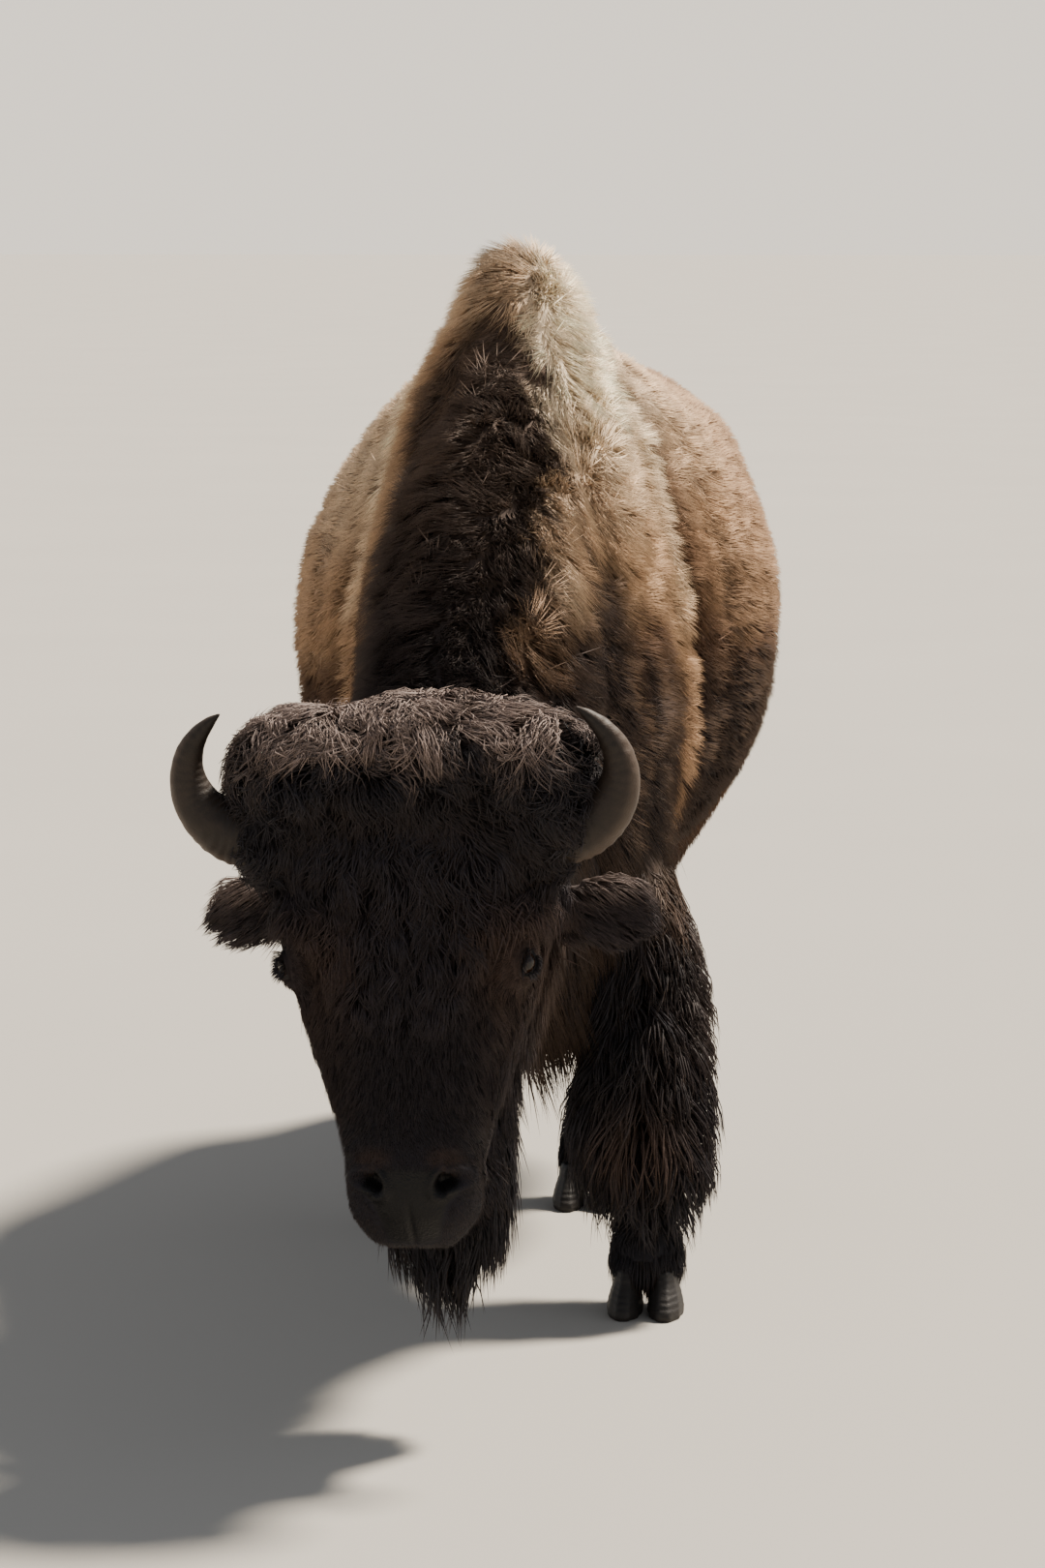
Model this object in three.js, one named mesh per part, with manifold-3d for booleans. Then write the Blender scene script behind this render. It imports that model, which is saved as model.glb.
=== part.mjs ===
// American bison bull, life size, walking slowly with its head held low.
// Millimetres, +Z up. The animal faces -Y and its left side is +X. Lengths along the body are
// measured from the highest point of the hump, which stands over y = 0 while the body is shaped;
// at the end the whole animal is moved so that the origin lies on the floor under its middle.
import * as THREE from "three";
import { mergeVertices } from "three/addons/utils/BufferGeometryUtils.js";
import Module from "manifold-3d";

const wasm = await Module();
wasm.setup();

// ---- Driving sizes ---------------------------------------------------------------------------
const HUMP_HEIGHT = 1720; // floor to the top of the coat on the hump
const CUT = 0.5; // width of the thin cuts that part the body
const CLEAR = 0.4; // air left round a piece that sits in or on another
const ELBOW_HEIGHT = 720; // where the forelegs leave the chest
const STIFLE_HEIGHT = 900; // where the thighs leave the flank
const CHAPS_HEM = 180; // lower edge of the long hair on the forelegs
const HOCK_HEIGHT = 450; // where the hind shanks begin
const HOOF_HEIGHT = 76;

const TRUNK_SIDES = 24; // facets round the trunk
const NECK_SIDES = 18;
const HEAD_SIDES = 16;
const LIMB_SIDES = 12;
const CROWN_SIDES = 10;
const BEARD_SIDES = 10;
const HORN_SIDES = 9;
const EAR_SIDES = 10;
const TAIL_SIDES = 8;
const EGG_SIDES = 10;

const COLOURS = {
  goldenWool: 0x9a7753,
  brownCoat: 0x6b4c36,
  darkMane: 0x2e221d,
  crownWool: 0x3a2f2c,
  faceCoat: 0x2a1f1b,
  noseSkin: 0x161314,
  horn: 0x4b4238,
  hoof: 0x262120,
  eye: 0x120d0b,
};

function coat(colour, roughness = 0.9) {
  return new THREE.MeshStandardMaterial({ color: colour, roughness, metalness: 0 });
}

const MATERIALS = {
  goldenWool: coat(COLOURS.goldenWool),
  brownCoat: coat(COLOURS.brownCoat),
  darkMane: coat(COLOURS.darkMane),
  crownWool: coat(COLOURS.crownWool),
  faceCoat: coat(COLOURS.faceCoat),
  noseSkin: coat(COLOURS.noseSkin, 0.45),
  horn: coat(COLOURS.horn, 0.5),
  hoof: coat(COLOURS.hoof, 0.6),
  eye: coat(COLOURS.eye, 0.1),
};

// ---- Solids ----------------------------------------------------------------------------------

// A closed three.js geometry as a solid that can be cut and joined.
function solidFrom(geometry) {
  const bare = geometry.index ? geometry.toNonIndexed() : geometry.clone();
  for (const name of Object.keys(bare.attributes)) {
    if (name !== "position") bare.deleteAttribute(name);
  }
  const merged = mergeVertices(bare, 1e-3);
  return new wasm.Manifold(
    new wasm.Mesh({
      numProp: 3,
      vertProperties: merged.attributes.position.array,
      triVerts: new Uint32Array(merged.index.array),
    }),
  );
}

function geometryFrom(solid) {
  const mesh = solid.getMesh();
  const places = new Float32Array(mesh.numVert * 3);
  for (let i = 0; i < mesh.numVert; i++) {
    places.set(mesh.vertProperties.subarray(i * mesh.numProp, i * mesh.numProp + 3), i * 3);
  }
  const geometry = new THREE.BufferGeometry();
  geometry.setAttribute("position", new THREE.BufferAttribute(places, 3));
  geometry.setIndex(new THREE.BufferAttribute(new Uint32Array(mesh.triVerts), 1));
  geometry.computeVertexNormals();
  return geometry;
}

// Skins a row of rings, each with the same number of points, and closes both ends with a fan.
function loft(rings) {
  const sides = rings[0].length;
  const points = rings.flat();
  const faces = [];
  for (let ring = 0; ring + 1 < rings.length; ring++) {
    for (let side = 0; side < sides; side++) {
      const here = ring * sides + side;
      const next = ring * sides + ((side + 1) % sides);
      faces.push(here, next, next + sides, here, next + sides, here + sides);
    }
  }
  for (const [ring, turn] of [[0, 1], [rings.length - 1, 0]]) {
    const middle = new THREE.Vector3();
    rings[ring].forEach((point) => middle.addScaledVector(point, 1 / sides));
    points.push(middle);
    for (let side = 0; side < sides; side++) {
      const here = ring * sides + side;
      const next = ring * sides + ((side + 1) % sides);
      faces.push(...(turn ? [points.length - 1, next, here] : [points.length - 1, here, next]));
    }
  }
  const geometry = new THREE.BufferGeometry().setFromPoints(points);
  geometry.setIndex(faces);
  const solid = solidFrom(geometry);
  if (solid.volume() > 0) return solid;
  faces.reverse();
  geometry.setIndex(faces);
  return solidFrom(geometry);
}

// Smooth values between stations. Each row is [place, value, value, ...].
function track(rows) {
  const places = rows.map((row) => row[0]);
  const values = rows.flatMap((row) => row.slice(1));
  const curve = new THREE.CubicInterpolant(places, values, rows[0].length - 1);
  return (place) => [...curve.evaluate(place)];
}

function steps(from, to, count) {
  return Array.from({ length: count + 1 }, (_, i) => from + ((to - from) * i) / count);
}

// One ring: a rounded section whose upper and lower halves have their own height and squareness.
// A power of 2 is an ellipse, less is more peaked and more is boxier.
function ring({ centre, side, up, half, rise, drop, sides, upper = 2, lower = 2 }) {
  return Array.from({ length: sides }, (_, i) => {
    const turn = (i / sides) * Math.PI * 2;
    const across = Math.cos(turn);
    const along = Math.sin(turn);
    const power = 2 / (along > 0 ? upper : lower);
    const reach = half * Math.sign(across) * Math.abs(across) ** power;
    const height = (along > 0 ? rise : drop) * Math.sign(along) * Math.abs(along) ** power;
    return centre.clone().addScaledVector(side, reach).addScaledVector(up, height);
  });
}

// A horn or tail: rings square to a smooth path. Each station is [x, y, z, half thickness], and
// across keeps the rings from twisting.
function taper(stations, across, { sides, rings, grow = 0 }) {
  const path = new THREE.CatmullRomCurve3(
    stations.map(([x, y, z]) => new THREE.Vector3(x, y, z)),
    false,
    "centripetal",
  );
  const thickness = track(stations.map((row, i) => [i, row[3]]));
  return loft(
    steps(0, 1, rings).map((share) => {
      const tangent = path.getTangent(share);
      const side = new THREE.Vector3().crossVectors(tangent, across).normalize();
      const up = new THREE.Vector3().crossVectors(side, tangent).normalize();
      const half = thickness(share * (stations.length - 1))[0] + grow;
      return ring({ centre: path.getPoint(share), side, up, half, rise: half, drop: half, sides });
    }),
  );
}

// A leg: level rings from top to bottom. Each station is [x, y, z, half across, half along].
const RING_SPACING = 110;

function column(stations, grow = 0) {
  const shape = track(stations.map(([x, y, z, across, along]) => [-z, x, y, across, along]));
  const levels = stations.flatMap(([, , z], i) => {
    const next = stations[i + 1]?.[2];
    return next === undefined ? [z] : steps(z, next, Math.ceil((z - next) / RING_SPACING)).slice(0, -1);
  });
  return loft(
    levels.map((z, i) => {
      const [x, y, across, along] = shape(-z);
      const lift = i === 0 ? grow : i === levels.length - 1 ? -grow : 0;
      return ring({
        centre: new THREE.Vector3(x, y, z + lift),
        side: ACROSS,
        up: BACK,
        half: across + grow,
        rise: along + grow,
        drop: along + grow,
        sides: LIMB_SIDES,
        upper: 2.2,
        lower: 2.2,
      });
    }),
  );
}

// Everything on the side of a plane that its normal points away from.
function behind(point, normal) {
  const reach = 6000;
  const box = new THREE.BoxGeometry(reach, reach, reach);
  box.translate(0, 0, -reach / 2);
  const turn = new THREE.Quaternion().setFromUnitVectors(
    new THREE.Vector3(0, 0, 1),
    normal.clone().normalize(),
  );
  box.applyQuaternion(turn);
  box.translate(point.x, point.y, point.z);
  return solidFrom(box);
}

// Parts a solid at a plane with one thin cut: [the part behind it, the part in front of it].
function part(solid, point, normal) {
  const unit = normal.clone().normalize();
  const near = point.clone().addScaledVector(unit, -CUT / 2);
  const far = point.clone().addScaledVector(unit, CUT / 2);
  return [solid.intersect(behind(near, unit)), solid.subtract(behind(far, unit))];
}

// The largest body of a solid, without the slivers that a cut may leave.
function largest(solid) {
  const bodies = solid.decompose();
  return bodies.reduce((best, body) => (body.volume() > best.volume() ? body : best));
}

const ACROSS = new THREE.Vector3(1, 0, 0);
const BACK = new THREE.Vector3(0, 1, 0);
const UP = new THREE.Vector3(0, 0, 1);

// ---- Trunk -----------------------------------------------------------------------------------
// Stations from the breast to the seat:
// [y, top, bottom, half width, height of the widest place, peak power, belly power, drift in x]
const trunkShape = track([
  [-460, 1160, 660, 80, 900, 2.0, 2.0, -14],
  [-420, 1350, 500, 170, 930, 1.9, 2.0, -14],
  [-320, 1550, 412, 238, 960, 1.75, 1.9, -12],
  [-170, 1682, 405, 270, 975, 1.7, 2.0, -10],
  [0, HUMP_HEIGHT, 470, 286, 980, 1.7, 2.1, -12],
  [170, 1702, 560, 302, 990, 1.72, 2.3, -18],
  [300, 1664, 572, 340, 1010, 1.76, 2.35, -26],
  [450, 1612, 575, 398, 1035, 1.85, 2.35, -30],
  [700, 1548, 590, 440, 1055, 2.05, 2.25, -34],
  [950, 1520, 652, 392, 1072, 2.35, 1.95, -22],
  [1180, 1512, 765, 332, 1075, 2.5, 1.95, -6],
  [1380, 1470, 830, 290, 1095, 2.3, 2.0, 2],
  [1500, 1400, 880, 246, 1120, 2.1, 2.0, 8],
  [1570, 1320, 950, 186, 1130, 2.0, 2.0, 10],
  [1602, 1240, 1030, 104, 1135, 2.0, 2.0, 10],
  [1614, 1180, 1090, 40, 1135, 2.0, 2.0, 10],
]);
const TRUNK_FRONT = -460;
const TRUNK_BACK = 1614;
const TRUNK_RINGS = [...steps(TRUNK_FRONT, 1460, 16), 1525, 1570, 1600, TRUNK_BACK];

function trunkLoft(grow = 0) {
  return loft(
    TRUNK_RINGS.map((y, i) => {
      const [top, bottom, half, wide, upper, lower, drift] = trunkShape(y);
      const push = i === 0 ? -grow : i === TRUNK_RINGS.length - 1 ? grow : 0;
      return ring({
        centre: new THREE.Vector3(drift, y + push, wide),
        side: ACROSS,
        up: UP,
        half: half + grow,
        rise: top - wide + grow,
        drop: wide - bottom + grow,
        sides: TRUNK_SIDES,
        upper,
        lower,
      });
    }),
  );
}

// ---- Neck ------------------------------------------------------------------------------------
// Stations along the neck: [share of the way, half width, to the crest, to the throat]
const neckPath = new THREE.CatmullRomCurve3(
  [
    new THREE.Vector3(-10, 60, 1150),
    new THREE.Vector3(-14, -220, 1090),
    new THREE.Vector3(-28, -460, 985),
    new THREE.Vector3(-44, -670, 875),
    new THREE.Vector3(-56, -840, 790),
  ],
  false,
  "centripetal",
);
const neckShape = track([
  [0, 240, 460, 460],
  [0.3, 240, 458, 500],
  [0.55, 214, 350, 492],
  [0.78, 196, 276, 392],
  [1, 174, 204, 270],
]);

function neckLoft(grow = 0) {
  return loft(
    steps(0, 1, 10).map((share) => {
      const tangent = neckPath.getTangent(share);
      const side = new THREE.Vector3().crossVectors(UP, tangent).normalize();
      const up = new THREE.Vector3().crossVectors(tangent, side).normalize();
      const [half, crest, throat] = neckShape(share);
      const push = share === 0 ? -grow : share === 1 ? grow : 0;
      return ring({
        centre: neckPath.getPoint(share).addScaledVector(tangent, push),
        side,
        up,
        half: half + grow,
        rise: crest + grow,
        drop: throat + grow,
        sides: NECK_SIDES,
        upper: 1.8,
        lower: 1.7,
      });
    }),
  );
}

// ---- Head ------------------------------------------------------------------------------------
// The head has its own axes: "down" runs from the horns to the mouth, "face" stands out of the
// forehead and "left" is the animal's left. All of its places are given along these three.
const HEAD_PLACE = new THREE.Vector3(-66, -930, 900); // midway between the horns, inside the skull
const HEAD_TILT = THREE.MathUtils.degToRad(12); // mouth carried ahead of the poll
const HEAD_TURN = THREE.MathUtils.degToRad(6); // face turned to the animal's right
const HEAD_ROLL = THREE.MathUtils.degToRad(2.5); // mouth swung to the animal's left

const headTurn = new THREE.Matrix4()
  .makeRotationZ(-HEAD_TURN)
  .multiply(new THREE.Matrix4().makeRotationX(-HEAD_TILT))
  .multiply(new THREE.Matrix4().makeRotationY(-HEAD_ROLL));
const LEFT = new THREE.Vector3(1, 0, 0).applyMatrix4(headTurn);
const FACE = new THREE.Vector3(0, -1, 0).applyMatrix4(headTurn);
const DOWN = new THREE.Vector3(0, 0, -1).applyMatrix4(headTurn);

function onHead(left, face, down) {
  return HEAD_PLACE.clone()
    .addScaledVector(LEFT, left)
    .addScaledVector(FACE, face)
    .addScaledVector(DOWN, down);
}

// Stations down the head: [down, half width, to the forehead, to the jaw, face power, jaw power]
const headShape = track([
  [-120, 90, 70, 120, 2.0, 2.0],
  [-80, 150, 128, 190, 2.2, 2.1],
  [0, 200, 158, 236, 2.4, 2.4],
  [90, 214, 152, 250, 2.4, 2.6],
  [190, 196, 134, 246, 2.5, 2.6],
  [290, 166, 114, 226, 2.4, 2.5],
  [380, 134, 99, 186, 2.3, 2.4],
  [460, 110, 90, 140, 2.4, 2.3],
  [530, 101, 82, 108, 2.5, 2.4],
  [580, 88, 63, 86, 2.4, 2.4],
  [608, 56, 32, 54, 2.2, 2.2],
]);
const HEAD_TOP = -120;
const MOUTH_END = 608;
const MUZZLE_CUT = 400;

function headLoft(grow = 0) {
  return loft(
    steps(HEAD_TOP - grow, MOUTH_END + grow, 16).map((down) => {
      const [half, face, jaw, facePower, jawPower] = headShape(down);
      return ring({
        centre: onHead(0, 0, down),
        side: LEFT,
        up: FACE,
        half: half + grow,
        rise: face + grow,
        drop: jaw + grow,
        sides: HEAD_SIDES,
        upper: facePower,
        lower: jawPower,
      });
    }),
  );
}

// An egg placed on the head, turned with it: half sizes along left, face and down.
function headEgg(left, face, down, halves, { grow = 0, sides = EGG_SIDES, swing = 0 } = {}) {
  const egg = new THREE.SphereGeometry(1, sides, Math.round(sides * 0.7));
  egg.scale(halves[0] + grow, halves[1] + grow, halves[2] + grow);
  egg.rotateY(swing);
  const place = new THREE.Matrix4().makeBasis(LEFT, FACE.clone().negate(), DOWN.clone().negate());
  egg.applyMatrix4(place.setPosition(onHead(left, face, down)));
  return solidFrom(egg);
}

// The crown: the mop of long wool between and over the horns, lying down onto the forehead.
const CROWN = { reach: 292, face: 62, down: -48, rise: 138, drop: 150, stand: 150 };

function crownLoft(grow = 0) {
  const { reach, face, down, rise, drop, stand } = CROWN;
  return loft(
    steps(-1, 1, 10).map((share) => {
      const bulge = Math.sqrt(Math.max(0, 1 - Math.abs(share) ** 3.2));
      return ring({
        centre: onHead(share * (reach + grow), face, down - 18 * share),
        side: FACE,
        up: DOWN.clone().negate(),
        half: 4 + stand * bulge + grow,
        rise: 4 + rise * bulge + grow,
        drop: 4 + drop * bulge + grow,
        sides: CROWN_SIDES,
        upper: 2.1,
        lower: 1.8,
      });
    }),
  );
}

// The beard: the long hair of the cheeks and chin, hanging in one wedge behind the mouth.
// Stations: [share of the way, half across, half along, drift to the animal's left]
const beardShape = track([
  [0, 150, 96, 0],
  [0.25, 150, 120, 2],
  [0.5, 140, 120, 10],
  [0.72, 118, 98, 20],
  [0.9, 72, 60, 26],
  [1, 22, 20, 28],
]);
const BEARD_ROOT = { down: 250, face: -150 };
const BEARD_TIP = new THREE.Vector3(-64, -860, 185);

function beardLoft(grow = 0) {
  const root = onHead(0, BEARD_ROOT.face, BEARD_ROOT.down);
  return loft(
    steps(0, 1, 8).map((share) => {
      const [across, along, drift] = beardShape(share);
      return ring({
        centre: root.clone().lerp(BEARD_TIP, share).addScaledVector(LEFT, drift),
        side: LEFT,
        up: new THREE.Vector3(0, 1, 0.2).normalize(),
        half: across + grow,
        rise: along + grow,
        drop: along + grow,
        sides: BEARD_SIDES,
      });
    }),
  );
}

// Horn stations on one side: [left, face, down, half thickness]
const HORN_STATIONS = [
  [120, 40, 2, 52],
  [196, 46, 16, 50],
  [262, 56, 8, 44],
  [304, 70, -28, 34],
  [316, 88, -74, 25],
  [298, 108, -120, 16],
  [258, 124, -154, 5],
];

function hornLoft(hand, grow = 0) {
  const stations = HORN_STATIONS.map(([left, face, down, half]) => [
    ...onHead(hand * left, face, down).toArray(),
    half,
  ]);
  return taper(stations, FACE, { sides: HORN_SIDES, rings: 12, grow });
}

// An ear: a short leaf-shaped shell, hollowed in front, hung just below the horn.
// The left one is swung out and down further than the right one.
const EAR_ROOT = { left: 170, face: -56, down: 112 };
const EAR_TIP = {
  left: { left: 344, face: -70, down: 122 },
  right: { left: 322, face: -70, down: 108 },
};
const earShape = track([
  [0, 30, 24],
  [0.3, 52, 28],
  [0.6, 60, 24],
  [0.85, 42, 16],
  [1, 10, 6],
]);

function earLoft(hand, grow = 0) {
  const end = hand > 0 ? EAR_TIP.left : EAR_TIP.right;
  const root = onHead(hand * EAR_ROOT.left, EAR_ROOT.face, EAR_ROOT.down);
  const tip = onHead(hand * end.left, end.face, end.down);
  const along = tip.clone().sub(root).normalize();
  const flat = DOWN.clone().addScaledVector(along, -DOWN.dot(along)).normalize();
  const thick = new THREE.Vector3().crossVectors(along, flat);
  const outer = loft(
    steps(0, 1, 7).map((share) => {
      const [width, depth] = earShape(share);
      return ring({
        centre: root.clone().lerp(tip, share),
        side: flat,
        up: thick,
        half: width + grow,
        rise: depth + grow,
        drop: depth + grow,
        sides: EAR_SIDES,
      });
    }),
  );
  if (grow) return outer;
  const middle = root.clone().lerp(tip, 0.52).addScaledVector(FACE, 22);
  const bowl = new THREE.SphereGeometry(1, 8, 5).scale(50, 20, 34);
  bowl.translate(middle.x, middle.y, middle.z);
  return outer.subtract(solidFrom(bowl));
}

const EYE_RADIUS = 22;
const EYE_PLACE = [177, 66, 188]; // left, face, down
const NOSTRIL_PLACE = [54, 72, 540];

// The swelling of brow and lids round an eye.
function orbit(hand, grow = 0) {
  return headEgg(hand * 158, 50, 184, [38, 42, 42], { grow });
}

function eyeball(hand, grow = 0) {
  const [left, face, down] = EYE_PLACE;
  return headEgg(hand * left, face, down, [EYE_RADIUS, EYE_RADIUS, EYE_RADIUS], { grow });
}

// Sockets for the eyes, comma-shaped nostrils and the line of the mouth, taken out of the head.
function headHollows() {
  const [, face, down] = NOSTRIL_PLACE;
  const eyes = [1, -1].map((hand) => eyeball(hand, CLEAR));
  const nostrils = [1, -1].map((hand) =>
    headEgg(hand * NOSTRIL_PLACE[0], face, down, [20, 26, 13], { sides: 8, swing: hand * -0.5 }),
  );
  const mouth = headEgg(0, -22, 604, [120, 9, 62], { sides: 8 });
  return [...eyes, ...nostrils, mouth].reduce((all, one) => all.add(one));
}

// ---- Legs ------------------------------------------------------------------------------------
// Each foot's place on the floor, and for a hind leg the middle of its hip and how far the leg
// reaches forward of it. Each leg is a row of stations down to the hoof:
// [x, y, z, half across, half along]. Long hair hangs from the forearms to under the knee.
const FEET = {
  fore_left: { x: 222, y: -172 },
  fore_right: { x: -190, y: 340 },
  hind_left: { x: 66, y: 580, hip: { x: 204, y: 1220 }, reach: -300 },
  hind_right: { x: -200, y: 1330, hip: { x: -204, y: 1260 }, reach: 120 },
};

// The forearm with its chaps of long hair, from the shoulder to the hem.
function forearm({ x, y }) {
  const hand = Math.sign(x);
  const elbowY = y * 0.2 + 6;
  return [
    [hand * 110, 20, 1040, 70, 110],
    [hand * 156, 10, 880, 114, 176],
    [hand * 174, elbowY * 0.8 + y * 0.1, 720, 114, 166],
    [x * 0.4 + hand * 112, elbowY * 0.55 + y * 0.4, 530, 121, 134],
    [x * 0.94, y * 0.86, 360, 131, 126],
    [x * 0.95, y * 0.96, 260, 128, 118],
    [x * 0.97, y, 205, 110, 102],
    [x * 0.98, y, CHAPS_HEM, 82, 78],
  ];
}

// The bare lower foreleg, from inside the chaps to the hoof.
function foreshank({ x, y }) {
  return [
    [x, y, 240, 46, 50],
    [x, y + 4, 190, 47, 51],
    [x, y + 6, 150, 51, 55],
    [x, y - 8, 112, 60, 63],
    [x, y - 26, 78, 59, 62],
    [x, y - 36, 50, 55, 57],
  ];
}

function hindleg({ x, y, hip, reach }) {
  const stifle = { x: hip.x * 1.17, y: hip.y - 250 + reach * 0.3 };
  const hock = { x: x * 0.7 + hip.x * 0.3, y: y + 130 + reach * 0.08 };
  const slant = Math.hypot(1, (hock.y - stifle.y) / 300);
  const gaskin = { x: (stifle.x + hock.x) / 2, y: (stifle.y + hock.y) / 2 + 40 };
  return [
    [hip.x * 0.72, hip.y + 10, 1230, 116, 250],
    [hip.x, hip.y - 40, 1010, 144, 290],
    [stifle.x * 0.97, (hip.y + stifle.y) / 2 + 10, 820, 134, 234],
    [gaskin.x, gaskin.y, 650, 94, 112 * slant],
    [hock.x, hock.y - 4, 500, 60, 84],
    [hock.x, hock.y - 8, 430, 50, 66],
    [(hock.x + x) / 2, (hock.y + y) / 2 + 20, 290, 44, 52],
    [x, y + 34, 165, 46, 56],
    [x, y + 4, 120, 54, 62],
    [x, y - 16, 78, 54, 60],
    [x, y - 24, 52, 50, 55],
  ];
}

function isFore(leg) {
  return leg.startsWith("fore");
}

function legLoft(leg, grow = 0) {
  return column(isFore(leg) ? forearm(FEET[leg]) : hindleg(FEET[leg]), grow);
}

// The plane where a leg leaves the body, facing the body.
function legRoot(name) {
  if (isFore(name)) return [new THREE.Vector3(0, 0, ELBOW_HEIGHT), UP];
  const outward = Math.sign(FEET[name].hip.x);
  return [
    new THREE.Vector3(FEET[name].hip.x, 0, STIFLE_HEIGHT),
    new THREE.Vector3(-0.45 * outward, 0, 1),
  ];
}

// A cloven hoof is two claws, flat below, each drawn out to a blunt toe.
const CLAW = { length: 124, width: 60, split: 7, back: -34 };

function claw({ x, y }, hand) {
  const outline = (lift, scale, shift) =>
    steps(0, 1, 10)
      .slice(0, -1)
      .map((share) => {
        const turn = share * Math.PI * 2;
        const toe = Math.sin(turn) < 0 ? 1.15 : 0.85;
        return new THREE.Vector3(
          x + hand * (CLAW.width / 2 + CLAW.split / 2) + (Math.cos(turn) * CLAW.width * scale) / 2,
          y + CLAW.back + shift + (Math.sin(turn) * CLAW.length * scale * toe) / 2,
          lift,
        );
      });
  return loft([
    outline(0, 0.97, -8),
    outline(8, 1, -8),
    outline(HOOF_HEIGHT * 0.5, 0.93, 0),
    outline(HOOF_HEIGHT - CLEAR, 0.78, 10),
  ]);
}

function dewclaw({ x, y }, hand, grow = 0) {
  const egg = new THREE.SphereGeometry(1, 6, 4);
  egg.scale(15 + grow, 17 + grow, 22 + grow);
  egg.rotateX(0.5);
  egg.translate(x + hand * 27, y + 46, 108);
  return solidFrom(egg);
}

// ---- Tail ------------------------------------------------------------------------------------
const TAIL_STATIONS = [
  [8, 1490, 1330, 34],
  [10, 1588, 1312, 31],
  [14, 1640, 1240, 26],
  [20, 1652, 1140, 23],
  [26, 1650, 1040, 26],
  [32, 1648, 950, 38],
  [38, 1650, 860, 38],
  [44, 1656, 770, 10],
];
const TUFT_TOP = 1010;

function tailLoft() {
  return taper(TAIL_STATIONS, ACROSS, { sides: TAIL_SIDES, rings: 14 });
}

// ---- Putting the animal together -------------------------------------------------------------
const bison = new THREE.Group();
bison.name = "bison";

function add(name, solid, material) {
  const mesh = new THREE.Mesh(geometryFrom(largest(solid)), MATERIALS[material]);
  mesh.name = name;
  bison.add(mesh);
}

function joined(solids) {
  return solids.reduce((all, one) => all.add(one));
}

const LEGS = Object.keys(FEET);
const HANDS = { left: 1, right: -1 };

function fleshLoft(grow = 0) {
  const orbits = Object.values(HANDS).map((hand) => orbit(hand, grow));
  const legs = LEGS.map((leg) => legLoft(leg, grow));
  return joined([trunkLoft(grow), neckLoft(grow), headLoft(grow), ...orbits, ...legs]);
}

function belowRoot(name, lift) {
  const [point, normal] = legRoot(name);
  return behind(point.clone().addScaledVector(UP, lift), normal);
}

// Legs: each is cut from the body at its root, then into an upper leg, a shank and a hoof.
for (const leg of LEGS) {
  const [pair, side] = leg.split("_");
  const name = `${pair}leg_${side}`;
  const foot = FEET[leg];
  const dewclaws = joined(Object.values(HANDS).map((hand) => dewclaw(foot, hand, CLEAR)));
  const whole = legLoft(leg).intersect(belowRoot(leg, -CUT / 2));
  const [hindShank, thigh] = isFore(leg) ? [] : part(whole, new THREE.Vector3(0, 0, HOCK_HEIGHT), UP);
  const shank = isFore(leg)
    ? column(foreshank(foot)).subtract(legLoft(leg, CLEAR))
    : hindShank;
  const [, aboveHoof] = part(shank.subtract(dewclaws), new THREE.Vector3(0, 0, HOOF_HEIGHT), UP);
  if (isFore(leg)) add(`${name}_forearm`, whole, "darkMane");
  else add(`${name}_thigh`, thigh, "brownCoat");
  add(`${name}_shank`, aboveHoof, "darkMane");
  for (const [hand, sign] of Object.entries(HANDS)) {
    add(`${name}_claw_${hand}`, claw(foot, sign), "hoof");
    add(`${name}_dewclaw_${hand}`, dewclaw(foot, sign), "hoof");
  }
}

// Body: one solid with room left for the legs and eyes, parted across its length.
const legRoom = LEGS.map((leg) => legLoft(leg, CLEAR).intersect(belowRoot(leg, CUT / 2)));
const body = fleshLoft().subtract(joined([...legRoom, headHollows()]));
const grownFlesh = fleshLoft(CLEAR);

const [headAndMuzzle, rest] = part(body, new THREE.Vector3(0, -800, 900), new THREE.Vector3(0, 1, 0.1));
const [head, muzzle] = part(headAndMuzzle, onHead(0, 0, MUZZLE_CUT), DOWN);
const [neck, trunk] = part(rest, new THREE.Vector3(0, -400, 1000), new THREE.Vector3(0, 1, -0.35));
const [shoulders, middle] = part(trunk, new THREE.Vector3(0, 400, 0), new THREE.Vector3(0, 1, 0));
const [barrel, rump] = part(middle, new THREE.Vector3(0, 1000, 0), new THREE.Vector3(0, 1, 0));

add("hump_and_shoulders", shoulders, "goldenWool");
add("barrel", barrel, "brownCoat");
add("rump", rump, "brownCoat");
add("neck", neck, "darkMane");
add("head", head, "faceCoat");
add("muzzle", muzzle, "noseSkin");

// Head furniture: each piece starts at the surface of the one that carries it.
const horns = {};
const ears = {};
for (const [side, hand] of Object.entries(HANDS)) {
  horns[side] = hornLoft(hand).subtract(grownFlesh);
  ears[side] = earLoft(hand).subtract(joined([grownFlesh, hornLoft(hand, CLEAR)]));
  add(`horn_${side}`, horns[side], "horn");
  add(`ear_${side}`, ears[side], "faceCoat");
  add(`eye_${side}`, eyeball(hand), "eye");
}
const roomInCrown = Object.values(HANDS).flatMap((hand) => [hornLoft(hand, CLEAR), earLoft(hand, CLEAR)]);
add("crown", crownLoft().subtract(joined([grownFlesh, ...roomInCrown])), "crownWool");
add("beard", beardLoft().subtract(grownFlesh), "darkMane");

const tailWhole = tailLoft().subtract(grownFlesh);
const [tuft, tail] = part(largest(tailWhole), new THREE.Vector3(0, 0, TUFT_TOP), UP);
add("tail", tail, "brownCoat");
add("tail_tuft", tuft, "darkMane");

// The origin is on the floor under the middle of the animal's box.
const box = new THREE.Box3().setFromObject(bison);
const middleOfBox = box.getCenter(new THREE.Vector3());
for (const mesh of bison.children) {
  mesh.position.set(-middleOfBox.x, -middleOfBox.y, -box.min.z);
}

export default bison;
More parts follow.
